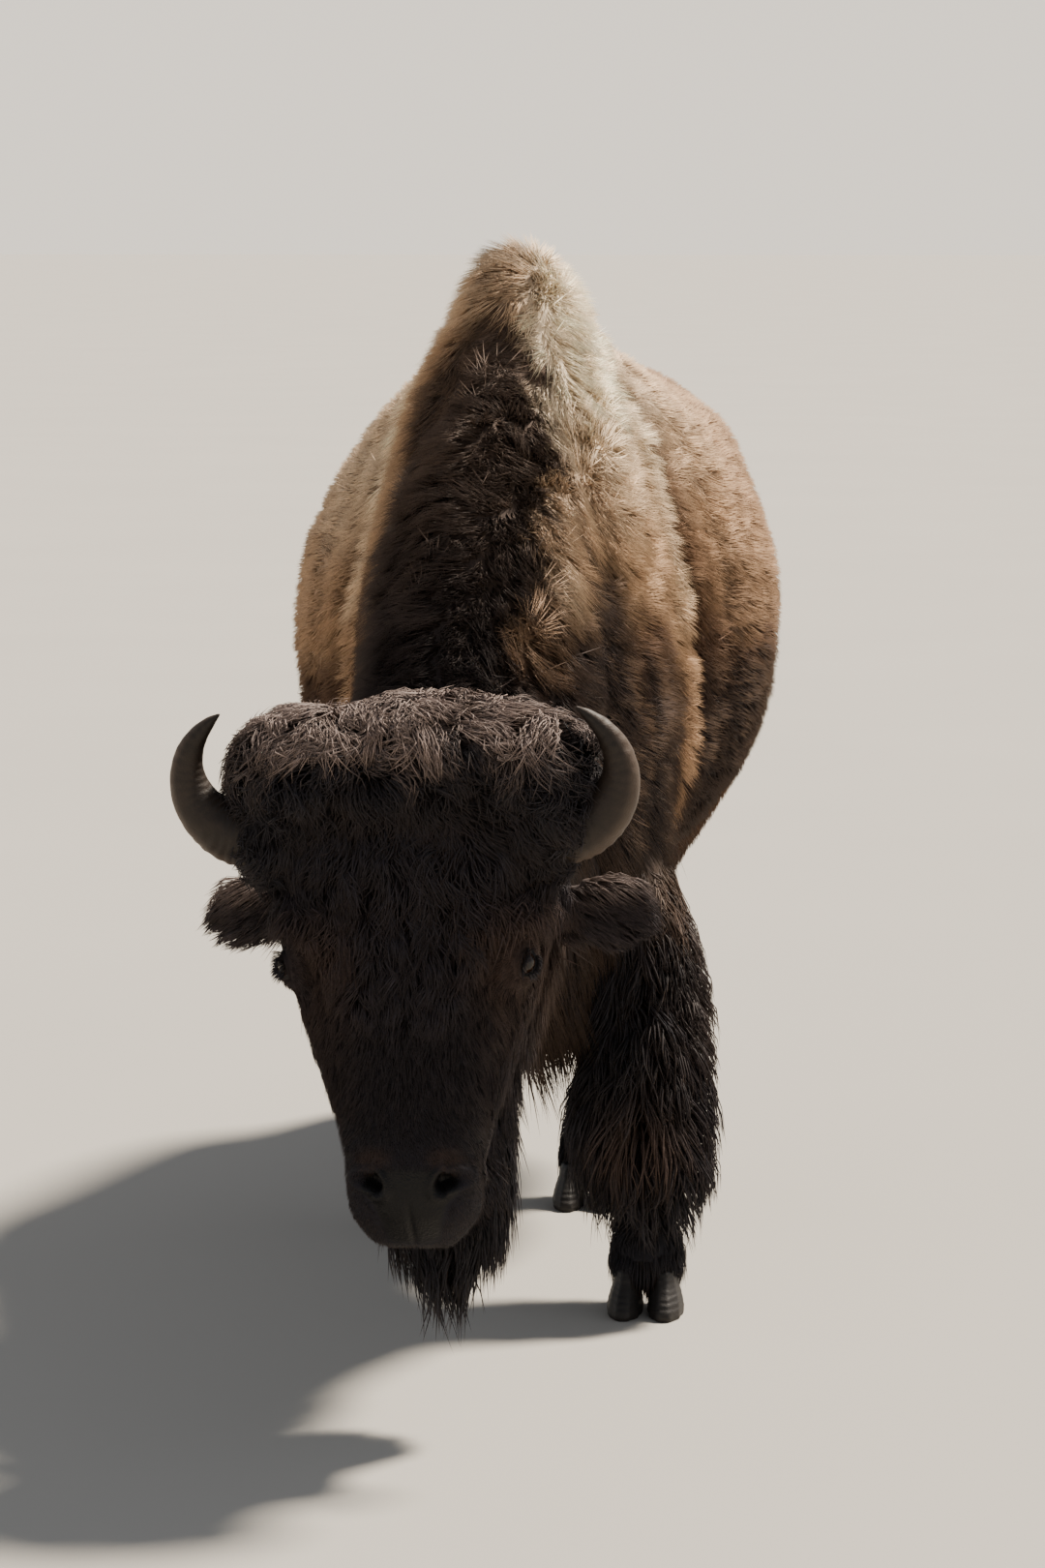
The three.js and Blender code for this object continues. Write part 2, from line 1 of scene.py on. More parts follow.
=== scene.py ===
"""American bison bull: skin, coat, horns, eyes and hooves over the solids, with floor, light and camera."""
import math

import bpy
import numpy as np
from mathutils import Euler, Matrix, Vector
from mathutils.bvhtree import BVHTree


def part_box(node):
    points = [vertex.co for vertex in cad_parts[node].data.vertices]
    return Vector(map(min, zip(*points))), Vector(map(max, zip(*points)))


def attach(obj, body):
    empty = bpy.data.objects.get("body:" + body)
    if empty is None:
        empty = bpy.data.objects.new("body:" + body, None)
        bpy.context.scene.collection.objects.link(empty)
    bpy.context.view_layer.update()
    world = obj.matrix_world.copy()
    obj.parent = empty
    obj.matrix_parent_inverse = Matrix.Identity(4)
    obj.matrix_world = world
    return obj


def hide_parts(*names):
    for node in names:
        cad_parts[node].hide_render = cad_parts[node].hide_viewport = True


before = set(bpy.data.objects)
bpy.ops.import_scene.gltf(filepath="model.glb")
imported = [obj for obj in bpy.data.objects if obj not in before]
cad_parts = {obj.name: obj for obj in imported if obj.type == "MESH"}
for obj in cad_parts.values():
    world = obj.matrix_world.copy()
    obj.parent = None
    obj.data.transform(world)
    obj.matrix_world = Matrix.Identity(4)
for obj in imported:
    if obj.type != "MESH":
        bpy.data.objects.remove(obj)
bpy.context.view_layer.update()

RANDOM = np.random.default_rng(27)

# ---- Places ----------------------------------------------------------------------------------
# The animal is shaped with the top of its hump over the origin. SHIFT is that point's place in
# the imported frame, taken from the left forefoot and from the plane that parts hump and barrel.
CLAW_BOXES = [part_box(f"foreleg_left_claw_{hand}") for hand in ("left", "right")]
HOOF_ASIDE = 0.222  # how far the left forefoot stands to the left of the hump's top
BARREL_BEHIND = 0.40025  # how far behind the hump's top the barrel's solid begins
SHIFT = np.array([
    sum(low.x + high.x for low, high in CLAW_BOXES) / 4 - HOOF_ASIDE,
    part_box("barrel")[0].y - BARREL_BEHIND,
    0.0,
])

# The head's own axes, as rows: to the animal's left, out of the forehead, down to the mouth.
HEAD_AT = np.array([-0.066, -0.930, 0.900])
HEAD_TURN = (
    Matrix.Rotation(math.radians(-6.0), 3, "Z")
    @ Matrix.Rotation(math.radians(-12.0), 3, "X")
    @ Matrix.Rotation(math.radians(-2.5), 3, "Y")
)
HEAD_AXES = np.array([HEAD_TURN @ Vector(axis) for axis in ((1, 0, 0), (0, -1, 0), (0, 0, -1))])
LEFT, FACE, DOWN = HEAD_AXES

EYE_AT = (0.167, 0.058, 0.203)  # left, face, down on the head, mirrored for the other side
EYE_RADIUS = 0.021
NOSE_MIDDLE = 0.007  # how far the muzzle is turned to the left
NOSTRIL_ASIDE, NOSTRIL_DOWN = 0.053, 0.512  # from the middle of the muzzle, and down the head
HORN_LINE = np.array([  # left, face, down and half width, from the root to the tip
    (0.120, 0.040, 0.002, 0.052), (0.196, 0.046, 0.016, 0.050), (0.262, 0.056, 0.008, 0.044),
    (0.304, 0.070, -0.028, 0.034), (0.316, 0.088, -0.074, 0.025), (0.298, 0.108, -0.120, 0.016),
    (0.258, 0.124, -0.154, 0.005),
])
HORN_BEND = np.array([0.200, 0.070, -0.105])  # a horn's line bends round this place


def on_head(points):
    """Packed places as left, face and down on the head."""
    return (points - SHIFT - HEAD_AT) @ HEAD_AXES.T


def from_head(places):
    return np.asarray(places) @ HEAD_AXES + HEAD_AT + SHIFT


def eye_centre(hand):
    return np.array([EYE_AT[0] * hand, EYE_AT[1], EYE_AT[2]])


# ---- Arrays and noise --------------------------------------------------------------------------
def smoothstep(low, high, values):
    share = np.clip((values - low) / (high - low), 0, 1)
    return share * share * (3 - 2 * share)


def bell(values, middle, reach):
    """1 at the middle, fading to both sides over about the reach."""
    return np.exp(-(((values - middle) / reach) ** 2))


def unit(vectors):
    return vectors / np.maximum(np.linalg.norm(vectors, axis=-1, keepdims=True), 1e-12)


def chance(cells, seed):
    """A repeatable number from 0 to 1 for each whole-numbered cell."""
    mixed = (cells[..., 0] * 73856093) ^ (cells[..., 1] * 19349663) ^ (cells[..., 2] * 83492791)
    mixed = (mixed ^ (seed * 2654435761)) & 0xFFFFFFFF
    mixed = ((mixed ^ (mixed >> 15)) * 2246822519) & 0xFFFFFFFF
    mixed = ((mixed ^ (mixed >> 13)) * 3266489917) & 0xFFFFFFFF
    return ((mixed ^ (mixed >> 16)) & 0xFFFFFF) / 0xFFFFFF


def noise(points, size, seed):
    """Smooth values from -1 to 1 that change over about size metres."""
    scaled = points / size
    cells = np.floor(scaled).astype(np.int64)
    inside = scaled - cells
    inside = inside * inside * (3 - 2 * inside)
    total = np.zeros(len(points))
    for corner in np.ndindex(2, 2, 2):
        step = np.array(corner)
        weight = np.prod(np.where(step, inside, 1 - inside), axis=1)
        total += weight * chance(cells + step, seed)
    return total * 2 - 1


def noise_vectors(points, size, seed):
    return np.stack([noise(points, size, seed + axis) for axis in range(3)], axis=1)


def nearest_clump(points, size, seed):
    """The middle of each point's wool clump, how far off that is in clumps, and the clump's number."""
    cells = np.floor(points / size).astype(np.int64)
    best = np.full(len(points), 1e9)
    middle = np.zeros_like(points)
    number = np.zeros(len(points))
    for corner in np.ndindex(3, 3, 3):
        cell = cells + np.array(corner) - 1
        jitter = np.stack([chance(cell, seed + axis) for axis in range(3)], axis=1)
        centre = (cell + jitter) * size
        reach = np.linalg.norm(centre - points, axis=1)
        closer = reach < best
        best = np.where(closer, reach, best)
        middle[closer] = centre[closer]
        number[closer] = chance(cell, seed + 7)[closer]
    return middle, best / size, number


# ---- Modelling ---------------------------------------------------------------------------------
def deselect():
    bpy.ops.object.select_all(action="DESELECT")


def choose(piece):
    deselect()
    piece.select_set(True)
    bpy.context.view_layer.objects.active = piece


def edit_all(tool, **settings):
    """Applies an edit-mode tool to the whole of the active piece."""
    bpy.ops.object.mode_set(mode="EDIT")
    bpy.ops.mesh.select_all(action="SELECT")
    tool(**settings)
    bpy.ops.object.mode_set(mode="OBJECT")


def add_ball(name, segments, rings, radius=1.0):
    """A round primitive at the origin, which is then shaped into a core, a horn or an eyeball."""
    deselect()
    bpy.ops.mesh.primitive_uv_sphere_add(segments=segments, ring_count=rings, radius=radius)
    ball = bpy.context.view_layer.objects.active
    ball.name = name
    return ball


def copied(nodes, name):
    """One new piece from copies of CAD nodes, closed again along its edges."""
    deselect()
    for node in nodes:
        part = bpy.data.objects.new(name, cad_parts[node].data.copy())
        bpy.context.scene.collection.objects.link(part)
        part.select_set(True)
        bpy.context.view_layer.objects.active = part
    if len(nodes) > 1:
        bpy.ops.object.join()
    piece = bpy.context.view_layer.objects.active
    piece.name = name
    piece.data.materials.clear()
    edit_all(bpy.ops.mesh.remove_doubles, threshold=1e-5)
    return piece


def modify(piece, kind, **settings):
    choose(piece)
    modifier = piece.modifiers.new(kind, kind)
    for name, value in settings.items():
        setattr(modifier, name, value)
    bpy.ops.object.modifier_apply(modifier=modifier.name)


def remesh(piece, voxel):
    modify(piece, "REMESH", mode="VOXEL", voxel_size=voxel)


def rows_of(items, name, width, kind=float):
    """One property of all of a mesh's points, edges or faces, a row for each."""
    values = np.empty(len(items) * width, kind)
    items.foreach_get(name, values)
    return values.reshape(-1, width)


def points_of(mesh):
    return rows_of(mesh.vertices, "co", 3)


def normals_of(mesh):
    return rows_of(mesh.vertex_normals, "vector", 3)


def edges_of(mesh):
    return rows_of(mesh.edges, "vertices", 2, int)


def corners_of(mesh):
    """The point at each corner of each face, face after face."""
    return rows_of(mesh.loops, "vertex_index", 1, int)[:, 0]


def triangles_of(mesh):
    mesh.calc_loop_triangles()
    return rows_of(mesh.loop_triangles, "vertices", 3, int)


def place_points(mesh, points):
    mesh.vertices.foreach_set("co", points.ravel())
    mesh.update()


def spread(values, edges, shares):
    """Moves each point's values towards (or away from) those of its neighbours, once for each share."""
    one, two = edges.T
    count = np.bincount(edges.ravel(), minlength=len(values))[:, None]
    for share in shares:
        around = np.stack([
            np.bincount(one, column[two], len(values)) + np.bincount(two, column[one], len(values))
            for column in values.T
        ], axis=1)
        values = values + share * (around / np.maximum(count, 1) - values)
    return values


EVEN_OUT = (0.5, -0.53)  # a smoothing pass and the pass that gives its lost volume back


def finish_piece(piece, material, smooth=True):
    piece.data.materials.clear()
    piece.data.materials.append(material)
    if smooth:
        piece.data.polygons.foreach_set("use_smooth", np.ones(len(piece.data.polygons), bool))
    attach(piece, "root")
    return piece


# ---- Materials ---------------------------------------------------------------------------------
def colour(code):
    """A linear colour from an sRGB hex value."""
    parts = np.array([int(code[i : i + 2], 16) / 255 for i in (1, 3, 5)])
    return np.where(parts <= 0.04045, parts / 12.92, ((parts + 0.055) / 1.055) ** 2.4)


def rgba(code):
    return (*colour(code), 1.0)


def new_material(name):
    material = bpy.data.materials.new(name)
    material.use_nodes = True
    return material, material.node_tree


def node(tree, kind, inputs=None, **settings):
    """Adds a node with its settings, and sets or links its inputs."""
    made = tree.nodes.new(kind)
    for name, value in settings.items():
        setattr(made, name, value)
    for name, value in (inputs or {}).items():
        if isinstance(value, bpy.types.NodeSocket):
            tree.links.new(value, made.inputs[name])
        else:
            made.inputs[name].default_value = value
    return made


def flecked_coat(tree, place, size, weakest, strongest, **pattern):
    """The coat's own colour at each place, darkened and lightened in flecks of some size in metres."""
    coat = node(tree, "ShaderNodeAttribute", attribute_name="coat")
    flecks = node(tree, "ShaderNodeTexNoise", {
        "Vector": place.outputs["Object"], "Scale": 1 / size, **pattern,
    })
    strength = node(tree, "ShaderNodeMapRange", {
        "Value": flecks.outputs["Fac"], "From Min": 0.3, "From Max": 0.7,
        "To Min": weakest, "To Max": strongest,
    })
    tinted = node(tree, "ShaderNodeVectorMath", {
        0: coat.outputs["Color"], 1: strength.outputs["Result"],
    }, operation="MULTIPLY")
    return tinted.outputs["Vector"]


def hair_material(name, roughness, sheen, strand):
    """Hair or wool that takes its colour from the coat, flecked about as coarsely as its strands lie."""
    material, tree = new_material(name)
    shader = tree.nodes["Principled BSDF"]
    place = node(tree, "ShaderNodeTexCoord")
    tinted = flecked_coat(tree, place, strand, 0.72, 1.28, Detail=3.0, Roughness=0.6)
    tree.links.new(tinted, shader.inputs["Base Color"])
    shader.inputs["Roughness"].default_value = roughness
    shader.inputs["Specular IOR Level"].default_value = 0.18
    shader.inputs["Sheen Weight"].default_value = sheen
    shader.inputs["Sheen Roughness"].default_value = 0.45
    shader.inputs["Sheen Tint"].default_value = rgba("#b08c68")
    return material


# Crimped wool of hump, flank and rump: dull, with a pale bloom where light grazes it.
WOOL = hair_material("crimped_wool", roughness=0.9, sheen=0.10, strand=0.006)
# Long coarse guard hair of crown, mane, beard, chaps and tail: darker and a little glossy.
GUARD_HAIR = hair_material("coarse_guard_hair", roughness=0.65, sheen=0.05, strand=0.004)
# Short close hair of face, ears and lower legs.
SHORT_HAIR = hair_material("short_close_hair", roughness=0.7, sheen=0.05, strand=0.003)


# How wide the hide's patterns are, in metres: cloudy patches, matted locks and the nose's pebbles.
MOTTLE, MATTED_LOCK, SKIN_PEBBLE = 0.01111, 0.003846, 0.003125


def skin_material():
    """Hide under matted underwool, which also shows bare at nose, lips and eyelids.
    Dull where it is woolly, moist and finely pebbled where it is bare."""
    material, tree = new_material("hide_and_underwool")
    shader = tree.nodes["Principled BSDF"]
    place = node(tree, "ShaderNodeTexCoord")
    tinted = flecked_coat(tree, place, MOTTLE, 0.70, 1.25, Detail=4.0, Roughness=0.65)
    bare = node(tree, "ShaderNodeAttribute", attribute_name="bare")
    matted = node(tree, "ShaderNodeTexNoise", {
        "Vector": place.outputs["Object"], "Scale": 1 / MATTED_LOCK, "Detail": 3.0, "Roughness": 0.6,
    })
    pebbles = node(tree, "ShaderNodeTexVoronoi", {
        "Vector": place.outputs["Object"], "Scale": 1 / SKIN_PEBBLE,
    })
    relief = node(tree, "ShaderNodeMix", {
        "Factor": bare.outputs["Fac"], 2: matted.outputs["Fac"], 3: pebbles.outputs["Distance"],
    }, data_type="FLOAT")
    bump = node(tree, "ShaderNodeBump", {
        "Height": relief.outputs[0], "Strength": 0.6, "Distance": 0.0015,
    })
    gloss = node(tree, "ShaderNodeMapRange", {
        "Value": bare.outputs["Fac"], "To Min": 0.88, "To Max": 0.50,
    })
    tree.links.new(tinted, shader.inputs["Base Color"])
    tree.links.new(bump.outputs["Normal"], shader.inputs["Normal"])
    tree.links.new(gloss.outputs["Result"], shader.inputs["Roughness"])
    shader.inputs["Specular IOR Level"].default_value = 0.20
    return material


# How wide the patterns of horn and hoof are, in metres: scuffed patches, grain and growth rings.
SCUFF, GRAIN = 0.026316, 0.002381
HORN_RING, HOOF_RING = 0.013, 0.009


def keratin_material(name, dark, light, ring, roughness):
    """Horn or hoof: dull keratin with fine grain, growth rings across it and a worn pale rim."""
    material, tree = new_material(name)
    shader = tree.nodes["Principled BSDF"]
    place = node(tree, "ShaderNodeTexCoord")
    along = node(tree, "ShaderNodeAttribute", attribute_name="along")
    worn = node(tree, "ShaderNodeAttribute", attribute_name="worn")
    patches = node(tree, "ShaderNodeTexNoise", {
        "Vector": place.outputs["Object"], "Scale": 1 / SCUFF, "Detail": 5.0, "Roughness": 0.65,
    })
    grain = node(tree, "ShaderNodeTexNoise", {
        "Vector": place.outputs["Object"], "Scale": 1 / GRAIN, "Detail": 2.0,
    })
    rings = node(tree, "ShaderNodeMath", {
        0: along.outputs["Fac"], 1: 2 * math.pi / ring,
    }, operation="MULTIPLY")
    uneven = node(tree, "ShaderNodeMath", {
        0: patches.outputs["Fac"], 1: 6.0, 2: rings.outputs["Value"],
    }, operation="MULTIPLY_ADD")
    wave = node(tree, "ShaderNodeMath", {0: uneven.outputs["Value"]}, operation="SINE")
    height = node(tree, "ShaderNodeMath", {
        0: wave.outputs["Value"], 1: 0.35, 2: grain.outputs["Fac"],
    }, operation="MULTIPLY_ADD")
    pale = node(tree, "ShaderNodeMath", {
        0: patches.outputs["Fac"], 1: 0.7, 2: worn.outputs["Fac"],
    }, operation="MULTIPLY_ADD")
    share = node(tree, "ShaderNodeMapRange", {
        "Value": pale.outputs["Value"], "From Min": 0.1, "From Max": 1.25, "To Min": 0.0, "To Max": 1.0,
    })
    mixed = node(tree, "ShaderNodeMix", {
        "Factor": share.outputs["Result"], 6: rgba(dark), 7: rgba(light),
    }, data_type="RGBA")
    bump = node(tree, "ShaderNodeBump", {
        "Height": height.outputs["Value"], "Strength": 0.5, "Distance": 0.0012,
    })
    tree.links.new(mixed.outputs[2], shader.inputs["Base Color"])
    tree.links.new(bump.outputs["Normal"], shader.inputs["Normal"])
    shader.inputs["Roughness"].default_value = roughness
    shader.inputs["Specular IOR Level"].default_value = 0.3
    return material


HORN = keratin_material("horn_keratin", "#17110d", "#40342b", ring=HORN_RING, roughness=0.58)
HOOF = keratin_material("hoof_keratin", "#100e0f", "#2c2825", ring=HOOF_RING, roughness=0.6)


def eye_material():
    """A wet eyeball: near-black brown iris, a level oblong pupil and a clear glossy front."""
    material, tree = new_material("wet_eyeball")
    shader = tree.nodes["Principled BSDF"]
    gaze = node(tree, "ShaderNodeUVMap", uv_map="gaze")
    centred = node(tree, "ShaderNodeVectorMath", {
        0: gaze.outputs["UV"], 1: (-0.5, -0.5, 0.0),
    }, operation="ADD")
    iris_reach = node(tree, "ShaderNodeVectorMath", {0: centred.outputs["Vector"]}, operation="LENGTH")
    squeezed = node(tree, "ShaderNodeVectorMath", {
        0: centred.outputs["Vector"], 1: (1.0, 2.3, 1.0),
    }, operation="MULTIPLY")
    pupil_reach = node(tree, "ShaderNodeVectorMath", {0: squeezed.outputs["Vector"]}, operation="LENGTH")
    rays = node(tree, "ShaderNodeTexNoise", {
        "Vector": gaze.outputs["UV"], "Scale": 40.0, "Detail": 3.0,
    })
    iris = node(tree, "ShaderNodeMix", {
        "Factor": rays.outputs["Fac"], 6: rgba("#0f0906"), 7: rgba("#2b1a10"),
    }, data_type="RGBA")
    in_pupil = node(tree, "ShaderNodeMapRange", {
        "Value": pupil_reach.outputs["Value"], "From Min": 0.19, "From Max": 0.22,
    })
    with_pupil = node(tree, "ShaderNodeMix", {
        "Factor": in_pupil.outputs["Result"], 6: rgba("#040306"), 7: iris.outputs[2],
    }, data_type="RGBA")
    past_iris = node(tree, "ShaderNodeMapRange", {
        "Value": iris_reach.outputs["Value"], "From Min": 0.34, "From Max": 0.4,
    })
    whole = node(tree, "ShaderNodeMix", {
        "Factor": past_iris.outputs["Result"], 6: with_pupil.outputs[2], 7: rgba("#2c1d17"),
    }, data_type="RGBA")
    tree.links.new(whole.outputs[2], shader.inputs["Base Color"])
    shader.inputs["Roughness"].default_value = 0.12
    shader.inputs["IOR"].default_value = 1.376
    shader.inputs["Specular IOR Level"].default_value = 0.35
    shader.inputs["Coat Weight"].default_value = 0.25
    shader.inputs["Coat Roughness"].default_value = 0.03
    return material


def floor_material():
    """Pale matt paper, faintly uneven in tone."""
    material, tree = new_material("pale_floor_paper")
    shader = tree.nodes["Principled BSDF"]
    place = node(tree, "ShaderNodeTexCoord")
    tone = node(tree, "ShaderNodeTexNoise", {"Vector": place.outputs["Object"], "Scale": 0.8, "Detail": 2.0})
    mixed = node(tree, "ShaderNodeMix", {
        "Factor": tone.outputs["Fac"], 6: rgba("#9a968f"), 7: rgba("#a09c95"),
    }, data_type="RGBA")
    tree.links.new(mixed.outputs[2], shader.inputs["Base Color"])
    shader.inputs["Roughness"].default_value = 0.9
    return material


# ---- Body regions ------------------------------------------------------------------------------
# For each region and longer-haired place, in metres: how deep its coat lies over the skin, the
# length and half width of a tuft and how far apart tufts stand; then how closely a tuft hugs the
# skin (1) or hangs free (0), and how much it curls and gathers into clumps; then a clump's size
# and how far the tips stand off (m).
FIELDS = ("depth", "length", "width", "apart", "hug", "curl", "gather", "clump", "flare")
COAT = {
    "hump": (0.042, 0.042, 0.0016, 0.0050, 0.95, 0.60, 0.85, 0.032, 0.000),
    "barrel": (0.024, 0.034, 0.0018, 0.0058, 1.00, 0.36, 0.65, 0.028, 0.000),
    "rump": (0.014, 0.026, 0.0016, 0.0067, 1.00, 0.26, 0.45, 0.024, 0.000),
    "thigh": (0.011, 0.024, 0.0014, 0.0058, 1.00, 0.18, 0.35, 0.024, 0.000),
    "shank": (0.005, 0.015, 0.0014, 0.0064, 1.00, 0.10, 0.20, 0.014, 0.000),
    "chaps": (0.052, 0.100, 0.0019, 0.0072, 0.35, 0.26, 0.60, 0.030, 0.028),
    "neck": (0.050, 0.046, 0.0016, 0.0046, 0.85, 0.75, 0.90, 0.034, 0.000),
    "head": (0.011, 0.027, 0.0010, 0.0031, 0.95, 0.34, 0.60, 0.016, 0.003),
    "muzzle": (0.005, 0.010, 0.0007, 0.0030, 1.00, 0.12, 0.20, 0.010, 0.000),
    "ear": (0.006, 0.050, 0.0011, 0.0038, 0.45, 0.20, 0.35, 0.014, 0.016),
    "crown": (0.050, 0.058, 0.0014, 0.0043, 0.80, 1.00, 0.95, 0.040, 0.008),
    "beard": (0.040, 0.120, 0.0018, 0.0058, 0.22, 0.26, 0.65, 0.028, 0.000),
    "tail": (0.006, 0.024, 0.0012, 0.0052, 0.90, 0.10, 0.20, 0.014, 0.000),
    "tuft": (0.022, 0.120, 0.0014, 0.0050, 0.10, 0.15, 0.35, 0.018, 0.000),
    "forelock": (0.034, 0.070, 0.0014, 0.0048, 0.75, 0.55, 0.90, 0.030, 0.006),
    "lids": (0.005, 0.013, 0.0009, 0.0021, 1.00, 0.15, 0.25, 0.010, 0.001),
    "cheek": (0.016, 0.040, 0.0013, 0.0048, 0.65, 0.28, 0.50, 0.018, 0.000),
    "jaw": (0.030, 0.092, 0.0016, 0.0056, 0.40, 0.28, 0.60, 0.024, 0.014),
    "crest": (0.042, 0.044, 0.0015, 0.0048, 1.00, 0.36, 0.70, 0.030, 0.000),
    "throat": (0.040, 0.150, 0.0020, 0.0072, 0.22, 0.26, 0.65, 0.032, 0.000),
    "feather": (0.008, 0.062, 0.0013, 0.0046, 0.20, 0.12, 0.25, 0.014, 0.016),
}
PARTS = {
    "hump": ["hump_and_shoulders"],
    "barrel": ["barrel"],
    "rump": ["rump"],
    "thigh": ["hindleg_left_thigh", "hindleg_right_thigh"],
    "shank": [f"{leg}_{side}_shank" for leg in ("foreleg", "hindleg") for side in ("left", "right")],
    "chaps": ["foreleg_left_forearm", "foreleg_right_forearm"],
    "neck": ["neck"],
    "head": ["head"],
    "muzzle": ["muzzle"],
    "ear": ["ear_left", "ear_right"],
    "crown": ["crown"],
    "beard": ["beard"],
    "tail": ["tail"],
    "tuft": ["tail_tuft"],
}
NAMES = list(PARTS)
OVER_CORES = ("crown", "beard", "tuft")
FLESH = [part for region in NAMES if region not in OVER_CORES for part in PARTS[region]]


def region_tree():
    """All solids with a coat as one searchable surface, and each face's region."""
    points, faces, owners = [], [], []
    for number, name in enumerate(NAMES):
        for part in PARTS[name]:
            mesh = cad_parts[part].data
            faces.append(triangles_of(mesh) + sum(map(len, points)))
            points.append(points_of(mesh))
            owners.extend([number] * len(faces[-1]))
    tree = BVHTree.FromPolygons(np.concatenate(points).tolist(), np.concatenate(faces).tolist())
    return tree, np.array(owners)


SOLIDS, FACE_REGION = region_tree()


def regions_at(points, edges, passes):
    """Each point's share in every region, blended over the borders, and how deep it lies in the solids."""
    share = np.zeros((len(points), len(NAMES)))
    gap = np.zeros((len(points), 1))
    for i, point in enumerate(points.tolist()):
        _, _, face, reach = SOLIDS.find_nearest(point)
        share[i, FACE_REGION[face]] = 1
        gap[i] = reach
    return spread(share, edges, [0.5] * passes), spread(gap, edges, [0.5] * passes)[:, 0]


def share_of(share, *names):
    return share[:, [NAMES.index(name) for name in names]].sum(axis=1)


def from_eye(points):
    """How far each point is from the middle of the nearer eye."""
    places = on_head(points)
    return np.min([np.linalg.norm(places - eye_centre(hand), axis=1) for hand in (1, -1)], axis=0)


def coat_fields(points, normals, share):
    """The coat's measures at each point: its regions' own, and longer hair where that grows."""
    _, y, z = (points - SHIFT).T
    left, face, down = on_head(points).T
    head = share_of(share, "head", "muzzle")
    brow = np.interp(down, [0.08, 0.15, 0.30], [0.27, 0.11, 0.06])
    longer = {
        "cheek": head * smoothstep(0.06, -0.02, face) * smoothstep(0.56, 0.46, down),
        "jaw": head * smoothstep(-0.02, -0.10, face) * smoothstep(0.58, 0.50, down),
        "forelock": share_of(share, "head") * smoothstep(0.34, 0.10, down) * smoothstep(-0.12, 0.0, face)
        * smoothstep(brow + 0.03, brow - 0.02, np.abs(left)),
        "crest": share_of(share, "hump") * smoothstep(1.54, 1.64, z),
        "throat": share_of(share, "neck", "hump") * smoothstep(0.92, 0.72, z)
        * smoothstep(0.5, -0.1, normals[:, 2]) * smoothstep(0.25, 0.0, y),
        "head": share_of(share, "muzzle") * smoothstep(0.50, 0.37, down),
        "lids": head * smoothstep(0.050, 0.028, from_eye(points)),
        "feather": share_of(share, "shank") * smoothstep(0.17, 0.12, z),
    }
    fields = share @ np.array([COAT[name] for name in NAMES])
    for name, weight in longer.items():
        fields += weight[:, None] * (np.array(COAT[name]) - fields)
    return fields


# ---- Markings, with painted light and shade ----------------------------------------------------
# The colours of the wool, by where it grows and by how the key falls on it, then of the hair and the bare
# skin. The sunlit and rim-lit colours are painted light.
SUNLIT_HIGHLIGHT_WOOL = colour("#fce8ca")
PALE_WOOL = colour("#e0c8ab")
GOLDEN_WOOL = colour("#b59576")
FLANK_WOOL = colour("#b19277")
RUMP_WOOL = colour("#785c48")
BROWN_WOOL = colour("#503c30")
RIM_LIT_RIDGE_WOOL = colour("#a5866a")
BAND_WOOL = colour("#57483f")
DARK_HAIR = colour("#342c2b")
BLACK_HAIR = colour("#222126")
# The grey-brown of the crown's top, with painted sunlight in it.
SUNLIT_CROWN_HAIR = colour("#7d6e68")
FACE_HAIR = colour("#232127")
RUSTY_HAIR = colour("#40332e")
NOSE_SKIN = colour("#0b0a0b")


def shoulder_edge(z):
    """How far back the long wool of the shoulders reaches, at each height."""
    return np.interp(z, [0.70, 0.85, 1.05, 1.25, 1.55], [0.165, 0.205, 0.190, 0.130, 0.105])


def mix(one, two, share):
    return one + (two - one) * np.asarray(share)[..., None]


